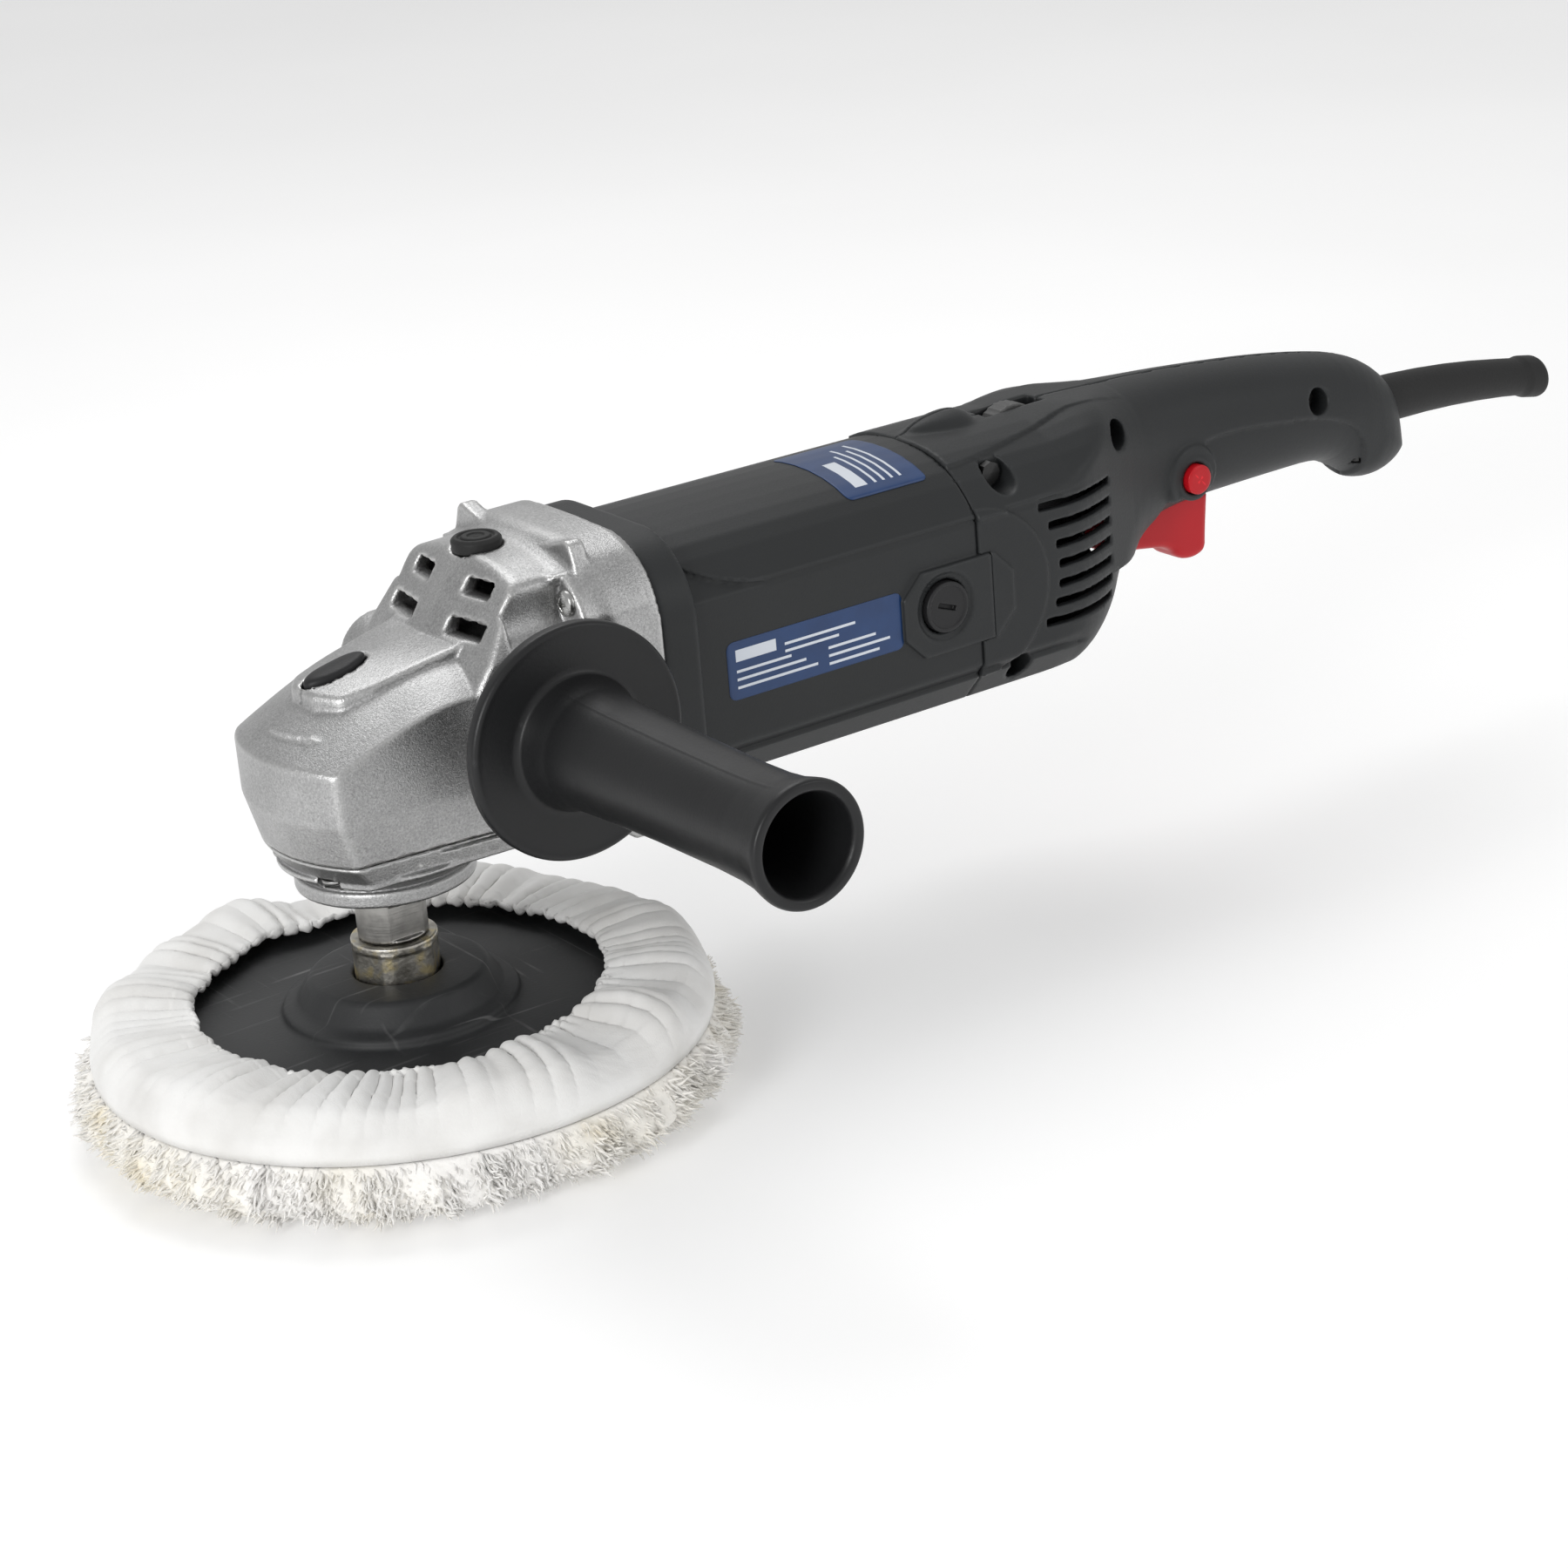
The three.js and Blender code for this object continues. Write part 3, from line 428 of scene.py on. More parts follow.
def cover_field(x, y, z):
    plate = soft_max(nose_plan(x, y, np.maximum(z, 76))[1], x - 31, 6)
    plate = every(soft_max(plate, 74.2 - z + 0.02 * x, 1), z - 81.7)
    taper = every(np.hypot(x, y) - 29.6 + 1.2 * np.maximum(74.8 - z, 0), 71.6 - z, z - 76)
    neck = every(np.hypot(x, y) - 24.4, 69 - z, z - 73)
    ring = soft_max(np.hypot(x, y) - 25.5, np.abs(z - 68.3) - 2.3, 1.0)
    body = soft_min(soft_min(plate, taper, 0.8), np.minimum(neck, ring), 0.3)
    slit = every(np.abs(z - 80.7) - 0.35, 2 - x, 29.2 - np.abs(y))
    notch = every(np.hypot(np.abs(x) - COVER_SCREW_X, np.abs(y) - COVER_SCREW_Y) - 4.6, z - 76.4, 72.2 - z)
    bore = every(np.hypot(np.abs(x) - COVER_SCREW_X, np.abs(y) - COVER_SCREW_Y) - 2.3, 72.2 - z)
    bearing = every(np.hypot(x, y) - 17.8, 74.7 - z)
    return every(body, -(np.hypot(x, y) - 10.6), -bearing, -slit, -notch, -bore)


make_mesh("gear_cover_plate", *moulded(cover_field, (-34, -34, 65), (33, 34, 83), 0.55), aluminium, "root",
          ["gear_cover"], "cast_aluminium")


def turned_steel(name, tone=(0.52, 0.51, 0.49), rough=0.3):
    finish = Finish(name, Metallic=1.0)
    lines = finish.noise(1.0, 4.0, 0.6, finish.stretched((60, 60, 2600)))
    stain = finish.noise(160, 4.0)
    dark = tuple(0.62 * part for part in tone)
    finish.set(Base_Color=finish.mix(finish.ramp(stain, (0.35, 0.0), (0.65, 1.0)), dark, tone))
    finish.set(Roughness=rough + 0.16 * lines - 0.08 * stain)
    finish.bump(lines, 0.00004, 0.7)
    return finish


screw_steel = turned_steel("plated_screw_steel", (0.56, 0.56, 0.55), 0.24)


def pan_screw(head_radius, head_tall, shank_radius, shank_long):
    """Depth of a cross-slotted screw whose head looks along +Z, seated at Z 0."""
    def field(x, y, z):
        across = np.hypot(x, y)
        dome = np.sqrt(x * x + y * y + (z + 1.6 * head_radius - head_tall) ** 2) - 1.6 * head_radius
        head = every(soft_max(across - head_radius, dome, 0.5), -z)
        shank = every(across - shank_radius, z - 0.5, -shank_long - z)
        upright = np.abs(x) + 0.5 * np.maximum(np.abs(y) - 0.3, 0)
        level = np.abs(y) + 0.5 * np.maximum(np.abs(x) - 0.3, 0)
        arm = np.minimum(upright, level)
        cross = every(arm - 0.5 - 0.28 * head_radius / 3, across - 0.62 * head_radius, head_tall * 0.25 - z)
        return np.maximum(np.minimum(head, shank), -cross)
    return field


def place_screws(names, seats, facing, sizes):
    """Like screws, each turned a little differently, at the points where they are seated."""
    head_radius, head_tall, shank_radius, shank_long = sizes
    low = (-head_radius - 1, -head_radius - 1, -shank_long - 1)
    points, faces = moulded(pan_screw(*sizes), low, (head_radius + 1, head_radius + 1, head_tall + 1), 0.28)
    axis = Vector(facing).to_track_quat("Z", "Y").to_matrix()
    for count, (node, seat) in enumerate(zip(names, seats)):
        spun = np.array(axis @ Matrix.Rotation(0.6 + 1.1 * count, 3, "Z"))
        make_mesh(node + "_piece", points @ spun.T + np.array(seat), faces, screw_steel, "root", [node],
                  "bright_steel")


place_screws(
    [f"cover_screw_{i + 1}" for i in range(4)],
    [(sx * COVER_SCREW_X, sy * COVER_SCREW_Y, 76.1) for sx, sy in ((-1, -1), (-1, 1), (1, -1), (1, 1))],
    (0, 0, -1), (3.5, 2.2, 2.0, 15))
place_screws(
    [f"head_screw_{i + 1}" for i in range(4)],
    [(48.6, sy * BOLT_SIDE, MOTOR_Z + sz * BOLT_RISE) for sy, sz in ((-1, -1), (-1, 1), (1, -1), (1, 1))],
    (-1, 0, 0), (3.9, 2.6, 2.0, 33))


def plain_plastic(name, tone, rough, grain_depth=0.00005, grain=1400):
    """Moulded plastic with spark-eroded grain, faint flow marks, and edges rubbed smoother and lighter."""
    finish = Finish(name, Metallic=0.0, IOR=1.45, Specular_IOR_Level=0.38)
    sand = finish.noise(grain, 2.0, 0.6)
    flow = finish.noise(30, 3.0)
    rubbed = finish.ramp(finish.edges(), (0.51, 0.0), (0.62, 1.0))
    dark = tuple(0.82 * part for part in tone)
    light = tuple(1.12 * part for part in tone)
    lightened_edge = tuple(1.7 * part + 0.004 for part in tone)
    finish.set(Base_Color=finish.mix(0.8 * rubbed, finish.mix(flow, dark, light), lightened_edge))
    finish.set(Roughness=rough + 0.10 * sand - 0.10 * rubbed)
    finish.bump(sand, grain_depth)
    return finish


black_plastic = plain_plastic("black_moulding", (0.012, 0.012, 0.013), 0.42)


def paint_node(node, finish):
    """Gives a CAD solid that keeps its shape its finish."""
    solid = next(held for held in bpy.data.objects if held.get("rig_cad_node") == node)
    if not solid.material_slots:
        solid.data.materials.append(finish.material)
    for held in solid.material_slots:
        held.material = finish.material


paint_node("head_louvre", black_plastic)

# ---- Top plug: a moulded rubber bung with rings, pressed into the deck of the head ---------------------
# It closes the hole through which the gear grease is filled. It is black rubber and holds by its waist.


def rounded_profile(points, radius=0.5, steps=4):
    """A turned piece's outline with each inner corner rounded to the radius."""
    points = [np.array(p, float) for p in points]
    line = [points[0]]
    for before, corner, after in zip(points, points[1:], points[2:]):
        to_before, to_after = before - corner, after - corner
        reach = min(radius, 0.45 * np.linalg.norm(to_before), 0.45 * np.linalg.norm(to_after))
        start = corner + to_before / np.linalg.norm(to_before) * reach
        stop = corner + to_after / np.linalg.norm(to_after) * reach
        for t in np.linspace(0, 1, steps):
            line.append((1 - t) ** 2 * start + 2 * t * (1 - t) * corner + t * t * stop)
    return [*line, points[-1]]


def turned(profile, segments=96, closed=False, swell=None):
    """Points and faces of a profile of (radius, height) turned about Z, closed at its ends."""
    profile = np.array(profile, float)
    turns = np.linspace(0, 2 * np.pi, segments, endpoint=False)
    extra = 0 if swell is None else swell(profile[:, 1][:, None], turns[None, :])
    radius = profile[:, 0][:, None] + extra
    heights = np.repeat(profile[:, 1][:, None], segments, 1)
    points = np.stack([radius * np.cos(turns), radius * np.sin(turns), heights], axis=2)
    rows = len(profile)
    faces = []
    for i in range(rows if closed else rows - 1):
        for j in range(segments):
            k = (j + 1) % segments
            n = (i + 1) % rows
            faces.append((i * segments + j, i * segments + k, n * segments + k, n * segments + j))
    if not closed:
        faces.append(tuple(range(segments))[::-1])
        faces.append(tuple((rows - 1) * segments + j for j in range(segments)))
    return points.reshape(-1, 3), faces


rubber = plain_plastic("black_rubber", (0.014, 0.014, 0.014), 0.55, 0.00008, 900)
plug_profile = rounded_profile([
    (5, 146.5), (5, 151.4), (7.1, 151.4), (7.2, 154.4), (6.3, 155.3), (5.4, 155.3), (5.0, 154.7),
    (4.4, 154.7), (4.0, 155.4), (2.6, 155.4), (2.3, 154.9), (0.8, 154.9), (0.4, 155.1)], 0.3)
points, faces = turned(plug_profile, 64)
make_mesh("top_plug_piece", points + (PLUG_X, 0, 0), faces, rubber, "root", ["top_plug"], "black_rubber")

# ---- Spindle lock button: an oval black plastic button with a steel pin under it -----------------------
# Pressed down, its pin drops into a hole of the crown gear and holds the spindle while the pad is
# unscrewed.


def lock_field(x, y, z):
    oval = (np.sqrt(((x + 8) / 9.5) ** 2 + (y / 4.5) ** 2) - 1) * 4.6
    dome = (z - 130.3 - 0.21 * (x + 8) + 0.9 * (y / 4.5) ** 2 + 0.5 * ((x + 8) / 9.5) ** 4) * 0.95
    cap = every(soft_max(oval, dome, 1.2), 123.6 - z)
    pin = every(np.hypot(x + PIN_AHEAD, y) - 2, 105.3 - z, z - 124)
    return np.minimum(cap, pin)


make_mesh("lock_button_piece", *moulded(lock_field, (-19, -6, 104), (3, 6, 134), 0.45), black_plastic,
          "spindle_lock", ["spindle_lock_button"], "black_plastic")

# ---- Spindle: turned steel, with two flats for a spanner above the pad ---------------------------------
# It runs in a ball bearing and a bush and ends in the thread that the pad's nut screws on to.
steel = turned_steel("ground_steel", (0.50, 0.49, 0.47), 0.3)


def spindle_field(x, y, z):
    across = np.hypot(x, y)
    body = every(across - 10, 48.5 - z, z - 73)
    for radius, low, high in ((7, 22, 49), (7.5, 72, 92.2), (9.6, 92, 96.2), (7, 96, 105), (5, 104, 114.1)):
        body = np.minimum(body, every(across - radius, low - z, z - high))
    flat = every(8.5 - np.abs(y), np.abs(z - 54.5) - 5)
    edge = every(across + 0.9 * (48.5 - z) - 10.4, z - 60) * 0.7
    return every(body, -flat, np.where(z < 52, edge, -9))


make_mesh("spindle_piece", *moulded(spindle_field, (-12, -12, 21), (12, 12, 116), 0.5), steel, "spindle",
          ["spindle"], "bright_steel")

# ---- Pad nut: a plated steel nut with a collar, which clamps the backing pad on to the spindle ---------
# Its plating has gone yellow in places, and spanners have bruised the flats.
plated = Finish("worn_plating", Metallic=1.0)
plate_patch = plated.noise(170, 4.0)
plated.set(Base_Color=plated.ramp(plate_patch, (0.35, (0.36, 0.34, 0.30)), (0.52, (0.56, 0.54, 0.49)),
                                  (0.64, (0.68, 0.58, 0.34))))
plated.set(Roughness=0.22 + 0.3 * plate_patch)
plated.bump(plated.noise(900, 3.0) + 0.6 * plate_patch, 0.00012)


def nut_field(x, y, z):
    across = np.hypot(x, y)
    facing = (0.35, 0.35 + math.pi / 3, 0.35 + math.pi * 2 / 3)
    sides = [np.abs(x * math.cos(a) + y * math.sin(a)) - 11.4 for a in facing]
    body = every(across - 12.3, soft_max(soft_max(sides[0], sides[1], 0.6), sides[2], 0.6), 20 - z, z - 46)
    collar = soft_max(across - 12.3, np.abs(z - 46.9) - 1.3, 0.5)
    return every(soft_min(body, collar, 0.5), 7.3 - across)


make_mesh("pad_nut_piece", *moulded(nut_field, (-14, -14, 19), (14, 14, 49.5), 0.5), plated, "spindle",
          ["pad_nut"], "plated_brass")

# ---- Backing pad: black moulded polyurethane with a stepped hub ----------------------------------------
# Its flexible disc carries the bonnet. The top is matt, and use has left pale scratches across it.
pad_rubber = Finish("scratched_pad", Metallic=0.0)
scratch = pad_rubber.noise(1.0, 2.0, 0.5, pad_rubber.stretched((9, 420, 9)))
second = pad_rubber.noise(1.0, 2.0, 0.5, pad_rubber.add("Mapping", values={
    0: pad_rubber.place(), 2: (0, 0, 0.9), 3: (460, 14, 9)}))
dust = pad_rubber.noise(45, 4.0)
marks = pad_rubber.ramp(scratch, (0.62, 0.0), (0.70, 1.0)) * pad_rubber.ramp(dust, (0.45, 0.0), (0.65, 1.0))
cross_marks = pad_rubber.ramp(second, (0.64, 0.0), (0.72, 0.8))
marks = marks + cross_marks * pad_rubber.ramp(dust, (0.4, 1.0), (0.55, 0.0))
pad_tone = pad_rubber.ramp(dust, (0.3, (0.013, 0.014, 0.015)), (0.7, (0.028, 0.029, 0.030)))
pad_rubber.set(Base_Color=pad_rubber.mix(marks * 0.7, pad_tone, (0.17, 0.17, 0.17)))
pad_rubber.set(Roughness=0.5 + 0.15 * dust)
pad_rubber.bump(pad_rubber.noise(1100, 2.0) - 0.4 * marks, 0.00006)
pad_profile = rounded_profile([
    (12.7, 17.6), (84.5, 17.6), (84.5, 22.3), (78, 25), (60, 26.6), (38, 27.4), (34.0, 27.6),
    (33.4, 29.8), (31.6, 30.4), (29.4, 31.2), (25.8, 36.8), (24.4, 37.7), (12.7, 37.7), (12.7, 17.6)], 1.2)
make_mesh("backing_pad_piece", *turned(pad_profile[:-1], 160, closed=True), pad_rubber, "spindle",
          ["backing_pad"], "black_rubber")

# ---- Bonnet skirt: white cotton sewn to the wool, pulled over the pad and gathered by a draw cord ------
# A strip as long as the wool's edge is gathered to the smaller hem, so it puckers there and puffs out in
# folds.
rng = np.random.default_rng(7)
around = np.linspace(0, 2 * np.pi, 1080, endpoint=False)


def waves(low, high, count):
    """An uneven, endless ripple round the bonnet with about low to high crests."""
    total = np.zeros_like(around)
    for crests in rng.integers(low, high, count):
        total += np.sin(crests * around + rng.uniform(0, 2 * np.pi)) * rng.uniform(0.5, 1.0)
    return total / np.sqrt(count)


skirt_line = np.array(rounded_profile([
    (58.6, 30.6), (57.6, 31.9), (58.8, 33.4), (63, 34.4), (74, 35.2), (82, 33.8), (86.0, 29.6), (88.2, 25),
    (87.6, 20.2)], 4, 9))
skirt_steps = np.concatenate([[0], np.cumsum(np.linalg.norm(np.diff(skirt_line, axis=0), axis=1))])
skirt_along = skirt_steps / skirt_steps[-1]
fine_ripple = waves(70, 120, 7)
mid_ripple = waves(26, 60, 7)
wide_ripple = waves(5, 18, 6)
slant_change = waves(3, 9, 4)
skirt_points = []
slant = np.interp(skirt_along, [0, 1], [0, 0.06])
for row, (radius, height) in enumerate(skirt_line):
    t = skirt_along[row]
    ahead_row = skirt_line[min(row + 1, len(skirt_line) - 1)] - skirt_line[max(row - 1, 0)]
    out = np.array([-ahead_row[1], ahead_row[0]]) / np.linalg.norm(ahead_row)
    shift = np.round(slant[row] * (1 + 0.4 * slant_change) * len(around) / (2 * np.pi)).astype(int)
    index = (np.arange(len(around)) + shift) % len(around)
    fine = fine_ripple[index] * 0.55 * np.exp(-((t / 0.14) ** 2))
    sharp = (1.1 - np.abs(mid_ripple[index]) ** 0.7) * 2.3 * np.exp(-(((t - 0.25) / 0.38) ** 2))
    soft = wide_ripple[index] * 2.6 * max(0, math.sin(math.pi * min(1, t * 1.05))) ** 0.8
    lift = fine - sharp + soft
    lift = lift * (1 - 0.85 * max(0, (t - 0.8) / 0.2))
    pull = (1.5 * wide_ripple + 0.5 * fine_ripple) * np.exp(-((t / 0.12) ** 2))
    ring_r = radius + out[0] * lift + pull
    ring_z = np.maximum(height + out[1] * lift, 27.8 if t < 0.5 else 17.4)
    skirt_points.append(np.stack([ring_r * np.cos(around), ring_r * np.sin(around), ring_z], axis=1))
rows = len(skirt_points)
columns = len(around)
skirt_faces = [
    (i * columns + j, i * columns + (j + 1) % columns,
     (i + 1) * columns + (j + 1) % columns, (i + 1) * columns + j)
    for i in range(rows - 1) for j in range(columns)]
cotton = Finish("gathered_cotton", Metallic=0.0, Sheen_Weight=0.15)
weave = cotton.noise(1.0, 1.0, 0.5, cotton.stretched((2600, 900, 900))) + cotton.noise(
    1.0, 1.0, 0.5, cotton.stretched((900, 2600, 900)))
soil = cotton.noise(38, 3.0)
cotton.set(Base_Color=cotton.ramp(
    soil, (0.30, (0.70, 0.69, 0.67)), (0.5, (0.80, 0.795, 0.78)), (0.7, (0.84, 0.84, 0.83))))
cotton.set(Roughness=0.85 + 0.1 * soil)
cotton.bump(weave, 0.00010, 0.6)
skirt = make_mesh("bonnet_skirt_cloth", np.concatenate(skirt_points), skirt_faces, cotton, "spindle",
                  ["bonnet_skirt"], "cotton")
thick = skirt.modifiers.new("cloth_thickness", "SOLIDIFY")
thick.thickness = 0.0006
thick.offset = -1

# ---- Bonnet wool: the tufted wool face, cream white, yellowed near the seam ----------------------------
# Lambswool on a woven backing. The pile stands out past the pad's edge in uneven locks.
wool = Finish("lambswool", Metallic=0.0, Sheen_Weight=0.6)
lock = wool.noise(420, 4.0, 0.6)
yellow = wool.noise(26, 3.0)
wool_tone = wool.ramp(
    yellow, (0.45, (0.93, 0.915, 0.89)), (0.60, (0.92, 0.89, 0.82)), (0.72, (0.90, 0.82, 0.64)))
wool.set(Base_Color=wool.mix(wool.ramp(lock, (0.3, 0.2), (0.5, 0.0)), wool_tone, (0.85, 0.82, 0.76)))
wool.set(Roughness=0.85 + 0.12 * lock)
wool.bump(lock, 0.0005)


TUFTS = ((9, 1.2, 0.4), (17, 1.0, 2.1), (31, 0.8, 4.0), (53, 0.7, 1.3), (87, 0.5, 5.1))


def tufts(height, angle):
    """How far the locks of wool stand out at a height and an angle; TUFTS is crests, size and phase."""
    waves_here = 0
    for crests, size, phase in TUFTS:
        waves_here = waves_here + size * np.sin(crests * angle + phase + 0.11 * height)
    return 0.6 * waves_here * np.clip((height - 0.4) / 6, 0, 1) * np.clip((19.6 - height) / 5, 0, 1)


wool_profile = rounded_profile([
    (0.5, 0.3), (78, 0.3), (86, 3.0), (92, 9), (91.5, 14), (87.8, 19.6), (85.6, 19.6), (85.3, 17.2),
    (0.5, 17.2)], 3, 6)
base_points, base_faces = turned(wool_profile, 360, swell=tufts)
strand_points = [base_points]
strand_faces = list(base_faces)
first_strand = len(base_points)
STRANDS = 6500
SEGMENTS = 4
angle = rng.uniform(0, 2 * np.pi, STRANDS)
clump = np.interp(np.mod(angle, 2 * np.pi), around, waves(12, 60, 8), period=2 * np.pi)
root_z = rng.uniform(2.0, 19.2, STRANDS)
root_r = np.interp(root_z, [0, 3, 9, 14, 19.4], [78, 85.5, 91.5, 91, 88]) + tufts(root_z, angle) * 0.6
length = rng.uniform(2.6, 5.2, STRANDS) + 2.2 * clump
rise = np.interp(root_z, [2, 9, 19.2], [0.0, -0.05, -0.3]) + rng.normal(0, 0.2, STRANDS)
sway = rng.normal(0, 0.4, STRANDS) + 0.5 * clump
curl = rng.normal(0, 0.35, (STRANDS, 2))
width = rng.uniform(0.55, 1.1, STRANDS)
rings = []
for level in range(SEGMENTS + 1):
    t = level / SEGMENTS
    reach = length * t
    bend = sway * t + curl[:, 0] * math.sin(3 * t)
    r = root_r - 1.0 + reach * np.cos(np.clip(rise, -1, 1)) * (1 - 0.12 * bend**2)
    z = np.clip(root_z + reach * np.sin(rise) + curl[:, 1] * 1.3 * math.sin(4 * t), 0.5, 21)
    a = angle + bend * reach * 0.35 / 95
    centre = np.stack([r * np.cos(a), r * np.sin(a), z], axis=1)
    size = width * (1 - 0.85 * t**1.5)
    sideways = np.stack([-np.sin(a), np.cos(a), np.zeros_like(a)], axis=1)
    for corner in range(3):
        turn_by = 2 * math.pi * corner / 3
        spoke = math.cos(turn_by) * sideways + math.sin(turn_by) * np.array([0, 0, 1])
        rings.append(centre + size[:, None] * spoke)
strand = np.stack(rings, axis=1)
per_strand = 3 * (SEGMENTS + 1)
strand_points.append(strand.reshape(-1, 3))
for s in range(STRANDS):
    base = first_strand + s * per_strand
    for level in range(SEGMENTS):
        for corner in range(3):
            after = (corner + 1) % 3
            foot = base + 3 * level
            strand_faces.append((foot + corner, foot + after, foot + 3 + after, foot + 3 + corner))
    strand_faces.append((base + 2, base + 1, base))
    strand_end = base + per_strand
    strand_faces.append((strand_end - 3, strand_end - 2, strand_end - 1))
make_mesh("bonnet_wool_pile", np.concatenate(strand_points), strand_faces, wool, "spindle", ["bonnet_wool"],
          "wool")

# ---- Motor housing: one moulding in charcoal nylon around the motor, with a square collar at the head --
# Its sides have a flat panel under a raised shoulder that swoops up to the collar, and an eight-sided
# boss round each brush cap that carries on over the handle. It is moulded with a fine spark grain.
charcoal = plain_plastic("charcoal_nylon", (0.0175, 0.0190, 0.0200), 0.44)
BRUSH_X = 172
TUBE_TOP = [
    (0, 150.2), (7, 149.9), (14, 148.9), (20, 147.3), (25.5, 145), (30, 141.8), (34, 137.9), (38.6, 132.5)]
TUBE_HALF = [*TUBE_TOP, (38.6, 86.5), (28.2, 74.8), (14, 72.4)]
TUBE = TUBE_HALF + [(-u, v) for u, v in TUBE_HALF[:0:-1]]


def parting(z):
    """Where the motor housing meets the handle, with the jog round the brush boss."""
    return 186 + 4 * (np.abs(z - 108.5) < 13.2)


def tube_depth(x, y, z):
    side = np.abs(y)
    section = outline_depth(y, z, [(u * 0.94, (v - 111) * 0.94 + 111) for u, v in TUBE]) - 2.3
    edge = 132.6 + 0.011 * np.maximum(113 - x, 0) ** 2
    panel = section + 1.3
    shoulder = soft_max(section, edge - z, 1.0)
    sill = soft_max(section, z - 84, 1.0)
    return soft_min(soft_min(panel, shoulder, 0.4), sill, 0.4)


def brush_boss(x, y, z):
    across = np.abs(x - 177.5)
    rise = np.abs(z - 108.5)
    plan = every(across - 20.5, rise - 13.2, (across + rise) * 0.707 - 18.9)
    return soft_max(plan, np.abs(y) - 38.9, 0.7)


def housing_field(x, y, z):
    side = np.abs(y)
    collar = soft_max(round_rect(y, z - 110.5, 41, 41, 24), np.abs(x - 78.4) - 6.1, 1.6)
    tube = every(tube_depth(x, y, z), 80 - x)
    body = soft_min(soft_min(collar, tube, 1.5), every(brush_boss(x, y, z), 20 - side), 0.4)
    line = every(np.hypot(x - BRUSH_X, z - MOTOR_Z) - 10.2, 38.2 - side)
    body = every(body, x - parting(z) + 0.1, 72.3 - x, -line)
    bore = every(np.hypot(y, z - MOTOR_Z) - 33.5, x - 182.5)
    seat = every(np.hypot(y, z - MOTOR_Z) - 15.5, 184 - x, x - 195.6)
    shaft = np.hypot(y, z - MOTOR_Z) - 6
    bearing = every(np.hypot(y, z - MOTOR_Z) - 13.3, 188 - x)
    body = np.minimum(every(body, -bore), seat)
    cap = every(np.hypot(x - BRUSH_X, z - MOTOR_Z) - 8.1, 10 - side)
    screws = every(np.hypot(side - BOLT_SIDE, np.abs(z - MOTOR_Z) - BOLT_RISE) - 2.3, x - 82.6)
    windows = every(np.hypot(side - 16.6, np.abs(z - MOTOR_Z) - 16.6) - 7, 180 - x)
    for room in (shaft, bearing, cap, screws, windows):
        body = np.maximum(body, -room)
    return body


make_mesh("motor_shell", *moulded(housing_field, (70, -43, 67), (198, 43, 156), 0.9), charcoal, "root",
          ["motor_housing"], "housing_plastic")

# ---- Brush caps: black screw caps with a slot, one on each side over a carbon brush --------------------
# Each cap sits in its boss inside a shallow ring, and is unscrewed with a wide screwdriver to change the
# brush.


def cap_field(x, y, z):
    across = np.hypot(x, y)
    body = soft_max(across - 7.7, z - 5.6, 0.6)
    dish = every(across - 6.4, 5.25 - z)
    slot = every(round_rect(x, y, 3.4, 0.75, 0.3), 3.6 - z)
    return every(body, -z, -dish, -slot)


cap_points, cap_faces = moulded(cap_field, (-9, -9, -1), (9, 9, 7), 0.35)
for number, side in ((1, -1), (2, 1)):
    tip = np.array(Matrix.Rotation(math.radians(-90 * side), 3, "X") @ Matrix.Rotation(-0.35, 3, "Z"))
    seat = np.array((BRUSH_X, side * 34.2, MOTOR_Z))
    make_mesh(f"brush_cap_{number}_piece", cap_points @ tip.T + seat, cap_faces, black_plastic, "root",
              [f"brush_cap_{number}"], "black_plastic")

# ---- Rear handle: two charcoal nylon halves, screwed together along the middle -------------------------
# It starts with the motor's section and narrows to a grip. The air vents, a raised round over the brush
# boss, the deep screw wells, a hump and a slot for the speed dial are all moulded in.


def softened(points, times=2):
    """An open outline with its corners cut twice, so that it runs as a curve."""
    points = np.array(points, float)
    for _ in range(times):
        a, b = points[:-1], points[1:]
        inner = np.stack([0.75 * a + 0.25 * b, 0.25 * a + 0.75 * b], axis=1).reshape(-1, 2)
        points = np.concatenate([points[:1], inner[1:-1], points[-1:]])
    return [tuple(p) for p in points]


HANDLE_TOP = softened([
    (170, 149.9), (240, 150.8), (280, 150.2), (316, 147.2), (346, 143.4), (369, 138.5), (385, 129.5),
    (391.5, 119), (394.3, 104.5)])
HANDLE_LOW = softened([
    (394.3, 104.5), (391, 97.5), (379, 94.6), (369, 95.4), (361, 101), (352, 105), (330, 105.2),
    (304, 105), (286, 104.4), (272, 101.5), (263, 93), (256, 82), (244, 74.4), (228, 71.7), (205, 71.6),
    (170, 72)])
HANDLE_PLAN = softened([
    (170, 39.5), (214, 38.6), (232, 35.0), (248, 28), (264, 21.5), (284, 18.4), (340, 17.8),
    (372, 16.8), (388, 13.5), (394.5, 7), (394.6, -1)])
GRIP_PANEL = softened([
    (272, 104), (283, 122), (292, 128.4), (306, 129.3), (330, 126.8), (350, 122.9), (361, 117), (366.5, 106),
    (367, 98)]) + [(367, 90), (272, 90)]
VENT_SLOTS = [
    (209.6, 129.5), (213.2, 123.3), (215.9, 117), (216.9, 110.8), (216.5, 104.6), (214.8, 98.8),
    (210.7, 93.2)]
PIVOT_X, PIVOT_Z = 266.5, 103.5
LOCK_ON_X, LOCK_ON_Z = 286, 118.5
CLAMP_X, CLAMP_SIDE = 366, 9
DIAL_X, DIAL_Z = 229, 141.3
# Each screw well: its place along X and Z, its depth, and its radius.
SCREW_WELLS = ((201, 141, 24, 5.0), (202, 82, 24, 4.3), (251.5, 141, 14, 4.5), (343, 130, 8, 4.3))


